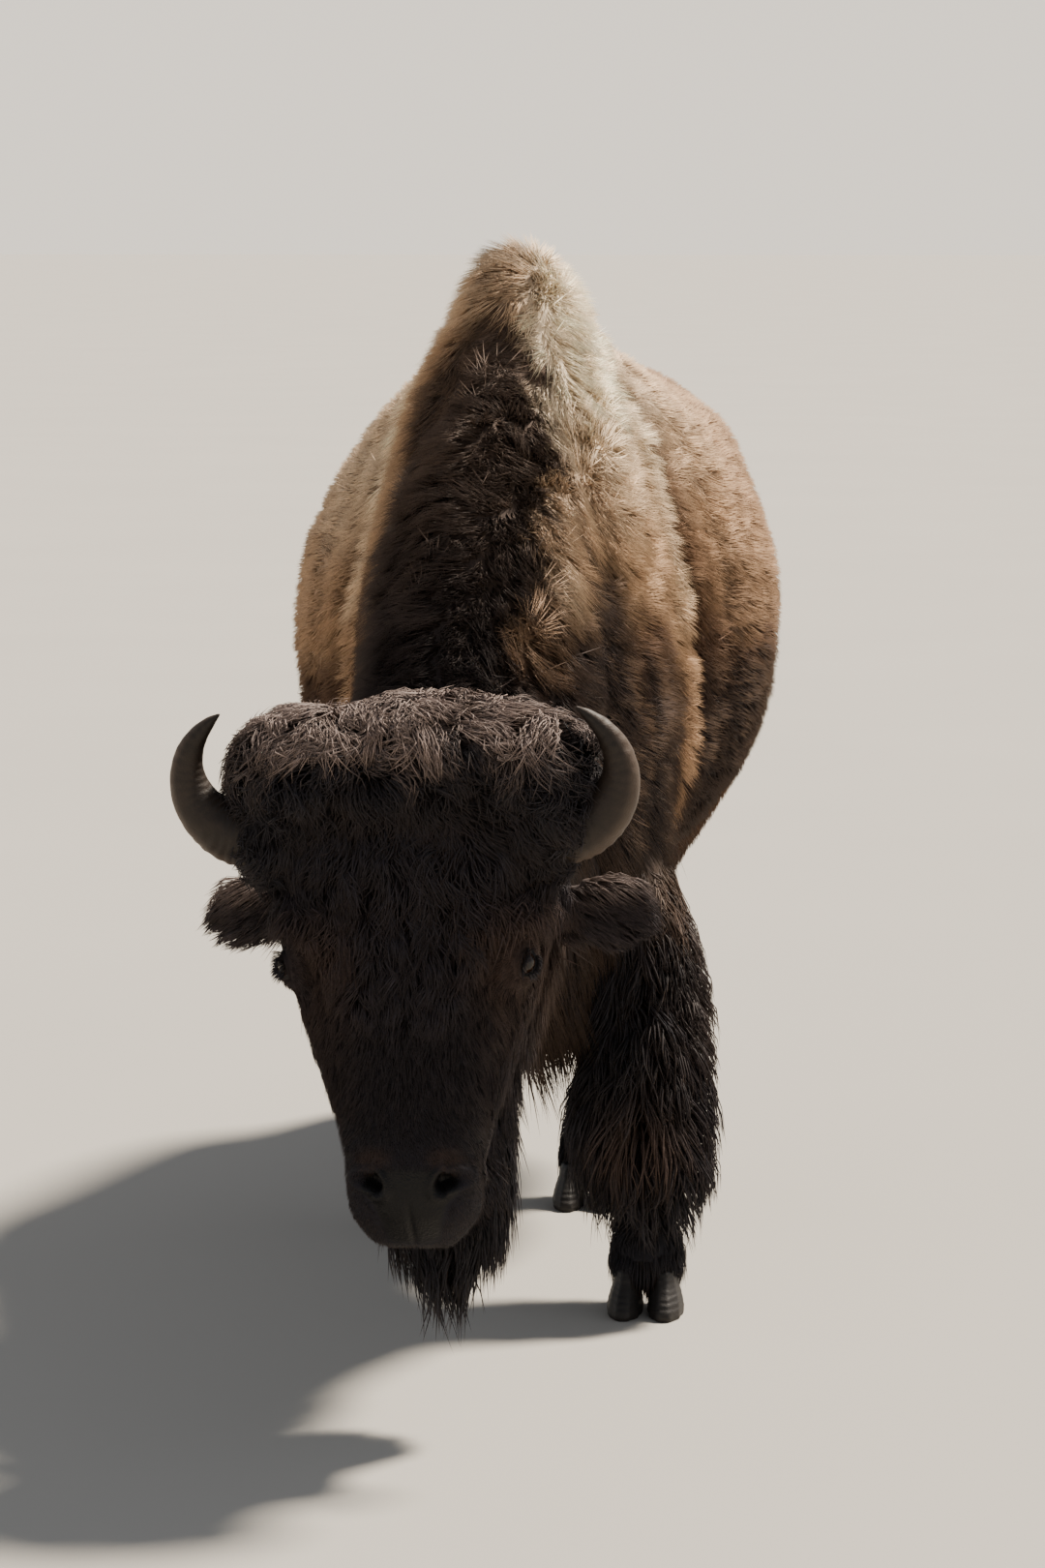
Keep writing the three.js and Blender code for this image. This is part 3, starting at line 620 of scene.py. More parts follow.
def trunk_marks(x, y, z, soft):
    """Pale over the back, partly the wool's own colour and partly painted sunlight; golden at the sides,
    brown and then nearly black low down; with painted rim light along the shoulders' ridge and painted shade
    in their creases.
    """
    height = z + 0.06 * soft
    # Painted sunlight: the back of the right flank is paler throughout, and the wool is paler high on the
    # sides that face the key and on the crest.
    sunlit_far_flank = smoothstep(-0.12, -0.26, x) * smoothstep(0.0, 0.3, y)
    sunlit_side = np.maximum(smoothstep(-0.03, 0.08, x + 0.04 * soft), sunlit_far_flank)
    sunlit_side = np.maximum(sunlit_side, 0.4 * smoothstep(1.56, 1.66, z))
    trunk = mix(GOLDEN_WOOL, PALE_WOOL, smoothstep(1.22, 1.48, height + 0.12 * sunlit_far_flank) * sunlit_side)
    rear = mix(FLANK_WOOL, RUMP_WOOL, smoothstep(0.45, 1.25, y + 0.1 * soft))
    trunk = mix(trunk, rear, smoothstep(0.2, 0.7, y + 0.12 * soft) * (0.85 - 0.35 * sunlit_far_flank))
    # Behind the shoulders' long wool runs a crease, painted brown as shade. Its edge is a ridge with painted
    # rim light, pale high up.
    behind = y - shoulder_edge(z)
    crease_shade = bell(behind, 0.14, 0.08) * smoothstep(1.60, 1.42, height)
    trunk = mix(trunk, RUMP_WOOL, crease_shade * (0.85 - 0.5 * sunlit_far_flank))
    ridge_rim_light_high = bell(behind, -0.01, 0.05) * smoothstep(1.05, 1.2, height)
    trunk = mix(trunk, mix(PALE_WOOL, SUNLIT_HIGHLIGHT_WOOL, smoothstep(1.25, 1.40, z)), 0.8 * ridge_rim_light_high)
    # Painted highlight: sunlit wool high on the hump's left front slope.
    sunlit_highlight = smoothstep(0.010, 0.060, x) * smoothstep(1.36, 1.52, height) * smoothstep(0.40, 0.10, y)
    trunk = mix(trunk, SUNLIT_HIGHLIGHT_WOOL, sunlit_highlight)
    # Painted rim light: a golden strip along the ridge low down.
    ridge_rim_light_low = bell(behind, -0.02, 0.065) * smoothstep(1.15, 1.0, height)
    trunk = mix(trunk, RIM_LIT_RIDGE_WOOL, ridge_rim_light_low)
    # The height at which the wool turns brown, lowest along the ridge, whose painted rim light reaches far
    # down.
    border = np.interp(
        behind, [-0.5, -0.20, -0.10, -0.05, 0.05, 0.11, 0.3, 0.6, 1.4],
        [1.17, 1.18, 1.12, 0.76, 0.74, 1.12, 1.15, 1.06, 0.90],
    )
    # Raised on the animal's right front as painted shade, lowered on the back of the right flank as painted
    # sunlight.
    border += 0.12 * smoothstep(-0.15, -0.30, x) * smoothstep(0.40, 0.15, y) - 0.13 * sunlit_far_flank
    trunk = mix(trunk, BROWN_WOOL, smoothstep(border + 0.09, border - 0.09, height + 0.05 * soft))
    trunk = mix(trunk, DARK_HAIR, smoothstep(border - 0.03, border - 0.20, height))
    # The black of the low front keeps off the ridge and its painted rim light.
    off_ridge = 1 - 0.8 * bell(behind, -0.02, 0.07)
    low_front = smoothstep(0.98, 0.80, height) * smoothstep(0.05, -0.15, y)
    trunk = mix(trunk, BLACK_HAIR, low_front * off_ridge)
    # The wool parts in a fold between neck and shoulder, darkened with painted shade, with a painted
    # highlight on a lock beside it.
    fold = np.clip(1.8 * bell(x - 0.02 * soft, 0.180, 0.058), 0, 1)
    fold *= smoothstep(1.29, 1.20, z + 0.03 * soft) * smoothstep(-0.20, -0.32, y)
    trunk = mix(trunk, DARK_HAIR, fold)
    lock = bell(x, 0.108, 0.026) * bell(z, 1.232, 0.036) * smoothstep(-0.42, -0.50, y)
    return mix(trunk, PALE_WOOL, lock)


def band_marks(points, soft):
    """A dark band down the front of hump and neck, partly the mane's own dark colour and partly painted
    shade on the front that faces away from the key, jagged where clumps of wool cross its edge.
    """
    x, y, z = (points - SHIFT).T
    middle = np.interp(
        z, [1.0, 1.09, 1.16, 1.25, 1.32, 1.47, 1.54, 1.60],
        [-0.085, -0.084, -0.072, -0.052, -0.046, -0.042, -0.036, -0.026],
    )
    half = np.interp(
        z, [1.0, 1.09, 1.16, 1.25, 1.40, 1.47, 1.54, 1.60, 1.66],
        [0.165, 0.132, 0.100, 0.126, 0.120, 0.112, 0.090, 0.052, -0.02],
    )
    _, _, number = nearest_clump(points, 0.05, 19)
    off = np.abs(x - middle) + 0.020 * soft + 0.035 * (number - 0.5)
    dark = smoothstep(half + 0.022, half - 0.018, off) * smoothstep(-0.08, -0.20, y + 0.03 * soft)
    return mix(DARK_HAIR, BAND_WOOL, smoothstep(1.08, 1.46, z + 0.06 * soft)), dark


def leg_marks(x, y, z, soft):
    """Brown thighs, dark chaps with a rusty knee and painted rim light under the shoulders' ridge, and
    nearly black lower legs.
    """
    height = z + 0.06 * soft
    thigh = mix(RUMP_WOOL, BROWN_WOOL, smoothstep(0.95, 0.62, height))
    thigh = mix(thigh, DARK_HAIR, smoothstep(0.66, 0.45, height))
    knee = np.clip(bell(z, 0.335, 0.06) * bell(np.abs(x), 0.215, 0.055) * (0.85 + 0.4 * soft), 0, 1)
    chaps = mix(BLACK_HAIR, DARK_HAIR, smoothstep(0.20, 0.27, np.abs(x)) * smoothstep(0.38, 0.48, z))
    # Painted rim light: under the ridge the chaps take some of the ridge's golden colour.
    rim_lit_under_ridge = mix(mix(BROWN_WOOL, RIM_LIT_RIDGE_WOOL, 0.45), DARK_HAIR, smoothstep(-0.11, -0.20, y))
    chaps = mix(mix(chaps, rim_lit_under_ridge, smoothstep(0.62, 0.86, height)), RUSTY_HAIR, knee)
    shank = mix(BLACK_HAIR, DARK_HAIR, smoothstep(0.25, 0.50, height))
    return thigh, chaps, shank


def head_marks(points, soft):
    """Nearly black down the middle, rusty about the eyes and cheeks, with a greyer crown: pale on top,
    partly its own grey and partly painted sunlight, and nearly black in front, partly painted shade; the
    ears pale towards their tops with painted rim light.
    """
    left, face, down = on_head(points).T
    aside = np.abs(left - 0.02)
    rust = bell(aside, 0.135, 0.055) * bell(down, 0.17, 0.085)
    rust += 0.22 * smoothstep(0.05, 0.12, aside)
    rust *= smoothstep(0.05, 0.12, down + 0.03 * soft) * smoothstep(0.48, 0.34, down)
    over_nostril = np.hypot((np.abs(left - NOSE_MIDDLE) - 0.052) / 0.034, (down - 0.478) / 0.022)
    tinge = 0.7 * smoothstep(1.2, 0.4, over_nostril + 0.3 * soft) * smoothstep(0.0, 0.05, face)
    rust = np.maximum(rust, tinge) * (0.75 + 0.4 * soft)
    head = mix(FACE_HAIR, RUSTY_HAIR, np.clip(rust, 0, 0.9))
    # Painted rim light pales the ears towards their tops.
    ear = mix(FACE_HAIR, SUNLIT_CROWN_HAIR, 0.10 + 0.6 * smoothstep(0.105, 0.070, down))
    # The crown's top is partly its own grey and partly painted sunlight; its front is nearly black, partly
    # painted shade.
    up = smoothstep(-0.075, -0.145, down + 0.06 * soft)
    crown = mix(BLACK_HAIR, SUNLIT_CROWN_HAIR, np.clip(up + 0.15 * soft, 0, 1))
    return head, ear, crown


def marking(points, share):
    """The coat's colour at each place, painted light and shade included: the same for the skin and for the
    tufts that grow from it.
    """
    x, y, z = (points - SHIFT).T
    soft = noise(points, 0.12, 3) * 0.6 + noise(points, 0.045, 5) * 0.4
    band, dark = band_marks(points, soft)
    result = mix(trunk_marks(x, y, z, soft), band, dark * share_of(share, "hump", "neck"))
    # The neck is dark next to the head and low down.
    low = smoothstep(-0.50, -0.62, y) * smoothstep(1.12, 1.04, z + 0.06 * soft)
    collar = np.maximum(smoothstep(-0.72, -0.80, y), low)
    result = mix(result, DARK_HAIR, share_of(share, "neck") * collar)
    thigh, chaps, shank = leg_marks(x, y, z, soft)
    head, ear, crown = head_marks(points, soft)
    for hair, regions, strength in (
        (thigh, ("thigh",), 1.0), (chaps, ("chaps",), 1.0), (shank, ("shank",), 1.0),
        (head, ("head", "muzzle"), 1.0), (ear, ("ear",), 1.0), (crown, ("crown",), 1.0),
        (BLACK_HAIR, ("beard",), 0.8), (RUMP_WOOL, ("tail",), 1.0), (DARK_HAIR, ("tuft",), 1.0),
    ):
        result = mix(result, hair, share_of(share, *regions) * strength)
    return result


# ---- Skin --------------------------------------------------------------------------------------
def add_core(name, at, halves, turn):
    """A smooth rounded core that long hair grows from, or that fills out a form under the skin."""
    core = add_ball(name, 48, 24)
    place_points(core.data, (points_of(core.data) * np.array(halves)) @ turn + at)
    return core


def refine(piece, near):
    """Splits the faces whose points all satisfy near(points)."""
    choose(piece)
    mesh = piece.data
    starts = rows_of(mesh.polygons, "loop_start", 1, int)[:, 0]
    picked = np.logical_and.reduceat(near(points_of(mesh))[corners_of(mesh)], starts)
    bpy.context.tool_settings.mesh_select_mode = (False, False, True)
    bpy.ops.object.mode_set(mode="EDIT")
    bpy.ops.mesh.select_all(action="DESELECT")
    bpy.ops.object.mode_set(mode="OBJECT")
    mesh.polygons.foreach_set("select", picked)
    bpy.ops.object.mode_set(mode="EDIT")
    bpy.ops.mesh.subdivide(number_cuts=1)
    bpy.ops.object.mode_set(mode="OBJECT")


def gaze_axes(hand):
    """An eye's own axes on the head: where it looks, towards the front corner, and up across the lids."""
    gaze = unit(np.array([0.80 * hand, 0.60, 0.05]))
    front = np.array([-0.30 * hand, 0.30, 0.90])
    front = unit(front - gaze * (front @ gaze))
    return gaze, front, np.cross(front, gaze) * hand


OPENING = (0.92, 0.56)  # half angles of the opening between the lids, along and across, in radians


def past_margin(along, across, ahead):
    """How far, in metres over the eyeball, a heading lies outside the edge of the lids."""
    swing = np.arccos(np.clip(ahead, -1, 1))
    flat = np.maximum(np.hypot(along, across), 1e-6)
    edge = 1 / np.hypot(along / flat / OPENING[0], across / flat / OPENING[1])
    return (swing - edge) * EYE_RADIUS


def shape_lids(places):
    """Lids: a thick rim round an almond opening over each eyeball, a crease above and a fold below."""
    for hand in (1, -1):
        centre = eye_centre(hand)
        gaze, front, top = gaze_axes(hand)
        offset = places - centre
        reach = np.linalg.norm(offset, axis=1)
        near = np.flatnonzero(reach < 0.07)
        heading = unit(offset[near])
        along, across = heading @ front, heading @ top
        past = past_margin(along, across, heading @ gaze) * 1000
        # How far the lids stand out from the eyeball, and the upper lid beyond that, in millimetres.
        proud = np.interp(
            past, [-6, -1.6, 0, 1.4, 4.0, 7.0, 9.5, 14], [-6.0, -3.0, 0.6, 2.4, 3.8, 3.2, 4.6, 7.5],
        )
        beyond = np.interp(past, [0, 2, 4, 6.5, 9, 14], [0.4, 1.2, 0.8, -0.8, 2.4, 2.0])
        proud += smoothstep(-0.1, 0.3, across) * beyond
        wanted = EYE_RADIUS + proud / 1000
        hold = 1 - smoothstep(9, 17, past)
        places[near] = centre + heading * (reach[near] + (wanted - reach[near]) * hold)[:, None]
    return places


def from_mouth(face, down):
    """How far in front of the line of the mouth a place on the muzzle lies, in metres."""
    return face + 0.020 + 0.14 * (0.605 - down)


def shape_muzzle(places, outward):
    """Nostrils with raised rims, a philtrum between them, and the mouth line under the upper lip."""
    left, face, down = places.T
    left = left - NOSE_MIDDLE
    seen = smoothstep(0.0, 0.03, face)
    push = np.zeros(len(places))
    for hand in (1, -1):
        # Each nostril is a comma: high next to the philtrum and drawn out to the side.
        aside = (left - NOSTRIL_ASIDE * hand) * hand
        bent = down - NOSTRIL_DOWN + 0.35 * aside - 6.0 * aside**2
        wide, high = np.where(aside > 0, 0.024, 0.017), np.where(aside > 0, 0.0125, 0.0165)
        reach = np.hypot(aside / wide, bent / high)
        push += seen * (0.0055 * bell(reach, 1.35, 0.30) - 0.022 * smoothstep(1.0, 0.4, reach))
    philtrum = bell(left, 0, 0.0035) * smoothstep(0.535, 0.555, down)
    push -= 0.0035 * philtrum * seen
    mouth = bell(from_mouth(face, down), 0, 0.0042) * smoothstep(0.485, 0.515, down)
    lip = bell(from_mouth(face, down), 0.014, 0.010) * smoothstep(0.50, 0.54, down)
    push += 0.0035 * lip - 0.010 * mouth
    return places + outward * push[:, None]


# How much each region's wool is matted into lumps.
MATTED = {"hump": 1.0, "neck": 1.1, "crown": 2.2, "barrel": 0.5, "rump": 0.3, "chaps": 0.6}


def relief(points, share):
    """How far the skin rises: the shoulders' ridge and crease, the crest, the bones and matted wool."""
    x, y, z = (points - SHIFT).T
    aside = np.abs(x)
    behind = y - shoulder_edge(z)
    on_side = smoothstep(0.06, 0.16, aside) * smoothstep(0.58, 0.72, z) * smoothstep(1.62, 1.40, z)
    edge = 0.024 * bell(behind, -0.010, 0.040) - 0.050 * bell(behind, 0.080, 0.045)
    belly = smoothstep(0.24, 0.36, aside) * smoothstep(1.30, 1.12, z) * smoothstep(0.55, 0.85, z)
    belly = belly * np.where(x < 0, 0.018, 0.007)
    rise = (edge * on_side + belly) * share_of(share, "hump", "barrel")
    rise += 0.046 * bell(x, 0.004, 0.072) * smoothstep(1.38, 1.70, z) * share_of(share, "hump")
    flank = bell(y, 0.98, 0.09) * bell(z, 0.95, 0.22) * smoothstep(0.1, 0.2, aside)
    rise -= 0.018 * flank * share_of(share, "barrel", "rump")
    hips = bell(aside, 0.25, 0.07) * bell(y, 0.86, 0.12) * bell(z, 1.36, 0.09)
    pins = bell(aside, 0.11, 0.06) * bell(y, 1.36, 0.08) * bell(z, 1.16, 0.09)
    cleft = bell(aside, 0, 0.05) * smoothstep(1.22, 1.34, y) * smoothstep(1.05, 0.95, z)
    rise += (0.018 * hips + 0.016 * pins - 0.030 * cleft) * share_of(share, "rump", "thigh", "barrel")
    matted = share @ np.array([MATTED.get(name, 0) for name in NAMES])
    return rise + matted * (0.010 * noise(points, 0.085, 71) + 0.005 * noise(points, 0.04, 72))


def in_box(low, high):
    """Tests for points in a box on the head, from a low to a high left, face and down."""
    def test(points):
        places = on_head(points)
        return ((places > np.array(low)) & (places < np.array(high))).all(axis=1)
    return test


def near_eyes(reach):
    return lambda points: from_eye(points) < reach


PASTERN_TOP = 0.15


def lower_legs(points):
    return points[:, 2] < PASTERN_TOP


def add_cores():
    """Rounded forms under the long hair of the head and the tail, and round horns and eyes."""
    cores = [
        add_core("crown_core", from_head((0.0, 0.056, -0.056)), (0.246, 0.106, 0.102), HEAD_AXES),
        add_core("forelock_core", from_head((0.0, 0.040, 0.045)), (0.190, 0.096, 0.130), HEAD_AXES),
        add_core("beard_core", from_head((0.018, -0.120, 0.440)), (0.094, 0.074, 0.180), HEAD_AXES),
        add_core("tuft_core", SHIFT + np.array([0.036, 1.650, 0.915]), (0.014, 0.014, 0.105), np.eye(3)),
    ]
    for hand in (1, -1):
        gaze, front, top = gaze_axes(hand)
        axes = np.array([gaze, front, top]) @ HEAD_AXES
        root = from_head((0.170 * hand, 0.046, 0.012))
        cores.append(add_core("horn_collar", root, (0.084, 0.062, 0.073), HEAD_AXES))
        cores.append(add_core("orbit", from_head(eye_centre(hand)), (0.0285, 0.036, 0.031), axes))
        brow = eye_centre(hand) + top * 0.020 - front * 0.006 - gaze * 0.010
        cores.append(add_core("brow", from_head(brow), (0.026, 0.046, 0.026), axes))
    return cores


FIRST_VOXEL, LAST_VOXEL = 0.0130, 0.0132  # the size of the skin's faces, first without the cores


def make_skin():
    """One skin over all the solids and cores: melted together, sunk by the coat's depth, then shaped."""
    skin = copied(FLESH, "skin")
    remesh(skin, FIRST_VOXEL)
    mesh = skin.data
    edges = edges_of(mesh)
    points = points_of(mesh)
    share, _ = regions_at(points, edges, 12)
    # Flat faces melt away over the trunk; legs and head are too thin for that and keep their bulk.
    broad = share_of(share, "hump", "barrel", "rump", "neck")[:, None]
    melted = spread(points, edges, [0.5] * 34)
    points = spread(points, edges, EVEN_OUT * 14)
    points = points + (melted - points) * smoothstep(0.4, 1.0, broad)
    place_points(mesh, points)
    # The skin sinks by the depth of the coat, a fifth at a time, and is smoothed as it sinks.
    depth = coat_fields(points, normals_of(mesh), share)[:, [FIELDS.index("depth")]]
    for _ in range(5):
        points = points_of(mesh) - normals_of(mesh) * depth / 5
        place_points(mesh, spread(points, edges, EVEN_OUT))
    cores = add_cores()
    deselect()
    for piece in (*cores, skin):
        piece.select_set(True)
    bpy.context.view_layer.objects.active = skin
    bpy.ops.object.join()
    remesh(skin, LAST_VOXEL)
    mesh = skin.data
    place_points(mesh, spread(points_of(mesh), edges_of(mesh), EVEN_OUT * 5))
    # Smaller faces where the shapes are small: on the face, the feet, the lids and the muzzle.
    for near in (
        in_box((-0.26, -0.12, 0.06), (0.26, 0.30, 0.70)),
        lower_legs,
        near_eyes(0.070),
        near_eyes(0.045),
        in_box((-0.12, -0.10, 0.46), (0.12, 0.30, 0.66)),
    ):
        refine(skin, near)
    mesh = skin.data
    edges = edges_of(mesh)
    points = spread(points_of(mesh), edges, EVEN_OUT * 3)
    place_points(mesh, points)
    share, gap = regions_at(points, edges, 16)
    normals = normals_of(mesh)
    fields = coat_fields(points, normals, share)
    points = points + normals * relief(points, share)[:, None]
    places = shape_muzzle(on_head(points), normals @ HEAD_AXES.T)
    place_points(mesh, from_head(shape_lids(places)))
    return skin, share, gap, fields


skin, SHARE, GAP, FIELD_VALUES = make_skin()
SKIN_POINTS = points_of(skin.data)
SKIN_NORMALS = normals_of(skin.data)
SKIN_EDGES = edges_of(skin.data)
SKIN_FACES = triangles_of(skin.data)


def bareness(points):
    """1 on the nose, lips, nostrils and lids, 0 in the coat."""
    places = on_head(points)
    left, face, down = places.T
    left = left - NOSE_MIDDLE
    pad = np.interp(
        down, [0.49, 0.505, 0.525, 0.545, 0.575, 0.60], [0.030, 0.066, 0.070, 0.050, 0.040, 0.036],
    )
    nose = smoothstep(0.488, 0.500, down) * smoothstep(0.02, 0.04, face)
    nose *= smoothstep(pad + 0.006, pad - 0.004, np.abs(left))
    lips = bell(from_mouth(face, down), 0, 0.014) * smoothstep(0.49, 0.51, down)
    lids = np.zeros(len(points))
    for hand in (1, -1):
        offset = places - eye_centre(hand)
        gaze, front, top = gaze_axes(hand)
        heading = unit(offset)
        past = past_margin(heading @ front, heading @ top, heading @ gaze)
        near = smoothstep(0.045, 0.035, np.linalg.norm(offset, axis=1))
        lids = np.maximum(lids, smoothstep(0.0042, 0.0025, past) * near)
    return np.clip(nose + lips + lids, 0, 1)


def paint(mesh, name, colours):
    layer = mesh.attributes.new(name, "FLOAT_COLOR", "POINT")
    full = np.ones((len(colours), 4))
    full[:, :3] = np.clip(colours, 0, 1)
    layer.data.foreach_set("color", full.ravel())


def measure(mesh, name, values):
    layer = mesh.attributes.new(name, "FLOAT", "POINT")
    layer.data.foreach_set("value", values)


UNDERWOOL_SHADE = 0.65  # how much light reaches the wool at the roots
BARE = bareness(SKIN_POINTS)
paint(skin.data, "coat", mix(marking(SKIN_POINTS, SHARE) * UNDERWOOL_SHADE, NOSE_SKIN, BARE))
measure(skin.data, "bare", BARE)
finish_piece(skin, skin_material())
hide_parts(*FLESH)


# ---- Coat --------------------------------------------------------------------------------------
def lie_of_coat(points, normals, share):
    """Which way the coat lies: back and down the body, down the legs, and down the face."""
    _, y, _ = (points - SHIFT).T
    left, face, down = on_head(points).T
    aside = np.clip(left / 0.25, -1, 1)[:, None]
    ones = np.ones((len(points), 1))
    from_poll = np.stack([left / 0.25, (face - 0.02) / 0.20, (down + 0.13) / 0.25], axis=1) @ HEAD_AXES
    # On the crest's front slope the mane falls forwards and to the right.
    ahead = (smoothstep(0.25, 0.75, normals @ (0.0, -0.6, 0.8)) * smoothstep(0.10, -0.12, y))[:, None]
    falling = ones * (-0.42, -0.75, -0.65)
    # Where it turns round from backwards to forwards, it lies over to the side.
    turning = 4 * ahead * (1 - ahead) * (-1.1, 0, 0)
    flows = {
        "hump": mix(ones * (0.0, 0.62, -0.78), falling, ahead[:, 0]) + turning,
        "barrel": ones * (0.0, 0.85, -0.52),
        "rump": ones * (0.0, 0.72, -0.68),
        "thigh": ones * (0.0, 0.38, -0.92),
        "shank": ones * (0.0, 0.10, -1.0),
        "chaps": ones * (0.0, 0.06, -1.0),
        "neck": mix(ones * (0.0, 0.22, -0.97), falling, ahead[:, 0]),
        "head": ones * (DOWN - 0.15 * FACE) + aside * LEFT * 0.35,
        "muzzle": ones * (DOWN * 0.7 - 0.6 * FACE) + aside * LEFT * 0.4,
        "ear": ones * DOWN * 0.55 + np.sign(left)[:, None] * LEFT,
        "crown": from_poll * 0.9 + ones * DOWN * 0.45,
        "beard": ones * (0.0, 0.08, -1.0),
        "tail": ones * (0.0, 0.15, -1.0),
        "tuft": ones * (0.0, 0.05, -1.0),
    }
    way = unit(sum(flows[name] * share[:, [i]] for i, name in enumerate(NAMES)))
    # Round the eyes it lies outwards from the lids.
    eyes = np.where(left[:, None] > 0, eye_centre(1), eye_centre(-1))
    outwards = unit(on_head(points) - eyes) @ HEAD_AXES
    return unit(way + outwards * smoothstep(0.065, 0.040, from_eye(points))[:, None] * 2.5)


# All that a tuft's root takes from the skin, one row for each point of it.
COLUMNS = {"place": 3, "normal": 3, "lie": 3, "share": len(NAMES), "gap": 1, "bare": 1}
COLUMNS.update({name: 1 for name in FIELDS})
LIE = spread(lie_of_coat(SKIN_POINTS, SKIN_NORMALS, SHARE), SKIN_EDGES, [0.5] * 8)
SOIL = np.concatenate([
    SKIN_POINTS, SKIN_NORMALS, LIE, SHARE, GAP[:, None], BARE[:, None], FIELD_VALUES,
], axis=1)
SKIN_TREE = BVHTree.FromPolygons(SKIN_POINTS.tolist(), SKIN_FACES.tolist())
CORNERS = SKIN_POINTS[SKIN_FACES]
ONE_SIDE, NEXT_SIDE = CORNERS[:, 1] - CORNERS[:, 0], CORNERS[:, 2] - CORNERS[:, 0]
FACE_AREA = np.linalg.norm(np.cross(ONE_SIDE, NEXT_SIDE), axis=1) / 2
FACE_MIDDLE = CORNERS.mean(axis=1) - SHIFT
FACE_REGION_SHARE = SHARE[SKIN_FACES].mean(axis=1)
FACE_BARE = BARE[SKIN_FACES].mean(axis=1)
FACE_APART = FIELD_VALUES[SKIN_FACES, FIELDS.index("apart")].mean(axis=1)


MOST_BARE = 0.35  # no tuft grows where the skin is barer than this


def roots_on(faces, thinner):
    """Even places on some faces of the skin with all that the skin gives them, by name."""
    want = np.cumsum(FACE_AREA[faces] / (FACE_APART[faces] * thinner) ** 2)
    count = int(want[-1])
    picks = np.searchsorted(want, (np.arange(count) + RANDOM.random(count)) / count * want[-1])
    picks = faces[np.minimum(picks, len(faces) - 1)]
    one, two = RANDOM.random((2, count))
    flip = one + two > 1
    one, two = np.where(flip, 1 - one, one), np.where(flip, 1 - two, two)
    weights = np.stack([1 - one - two, one, two], axis=1)[:, :, None]
    rows = (SOIL[SKIN_FACES[picks]] * weights).sum(axis=1)
    ends = np.cumsum(list(COLUMNS.values()))
    parts = dict(zip(COLUMNS, np.split(rows, ends[:-1], axis=1)))
    keep = (parts["bare"][:, 0] < MOST_BARE) & clear_of_hard_parts(parts["place"])
    return {name: (part[keep] if COLUMNS[name] > 1 else part[keep, 0]) for name, part in parts.items()}


def clear_of_hard_parts(points):
    """False where a tuft would grow through an eye or a horn."""
    places = on_head(points)
    places[:, 0] = np.abs(places[:, 0])
    keep = np.linalg.norm(places - np.array(EYE_AT), axis=1) > EYE_RADIUS + 0.003
    for one, two in zip(HORN_LINE, HORN_LINE[1:]):
        step = (two - one)[:3]
        share = np.clip(((places - one[:3]) @ step) / (step @ step), 0, 1)
        keep &= np.linalg.norm(places - one[:3] - share[:, None] * step, axis=1) > 0.85 * two[3]
    return keep


def on_skin(points):
    """The nearest place on the skin to each point, and the way out of the skin there."""
    spots, ways = np.empty_like(points), np.empty_like(points)
    for i, point in enumerate(points.tolist()):
        spots[i], ways[i], _, _ = SKIN_TREE.find_nearest(point)
    return spots, ways


def unwrap(points, kind):
    """Where roots lie on the skin laid flat: round the body or limb across, and along it upwards."""
    x, y, z = (points - SHIFT).T
    left, face, down = on_head(points).T
    if kind == "trunk":
        turn, along = np.arctan2(x, z - 1.02), y
    elif kind == "head":
        turn, along = np.arctan2(left, face + 0.04), down
    elif kind == "crown":
        turn, along = np.arctan2(down + 0.05, face - 0.06), left
    else:
        middle = points.mean(axis=0) - SHIFT
        turn, along = np.arctan2(x - middle[0], y - middle[1] - 0.25 * (z - middle[2])), z
    along = (along - along.min()) / max(np.ptp(along), 1e-6)
    return np.stack([turn / (2 * math.pi) + 0.5, along], axis=1) * 0.99 + 0.005


PATCH = 0.003  # how wide a tuft's own patch is on the flat map


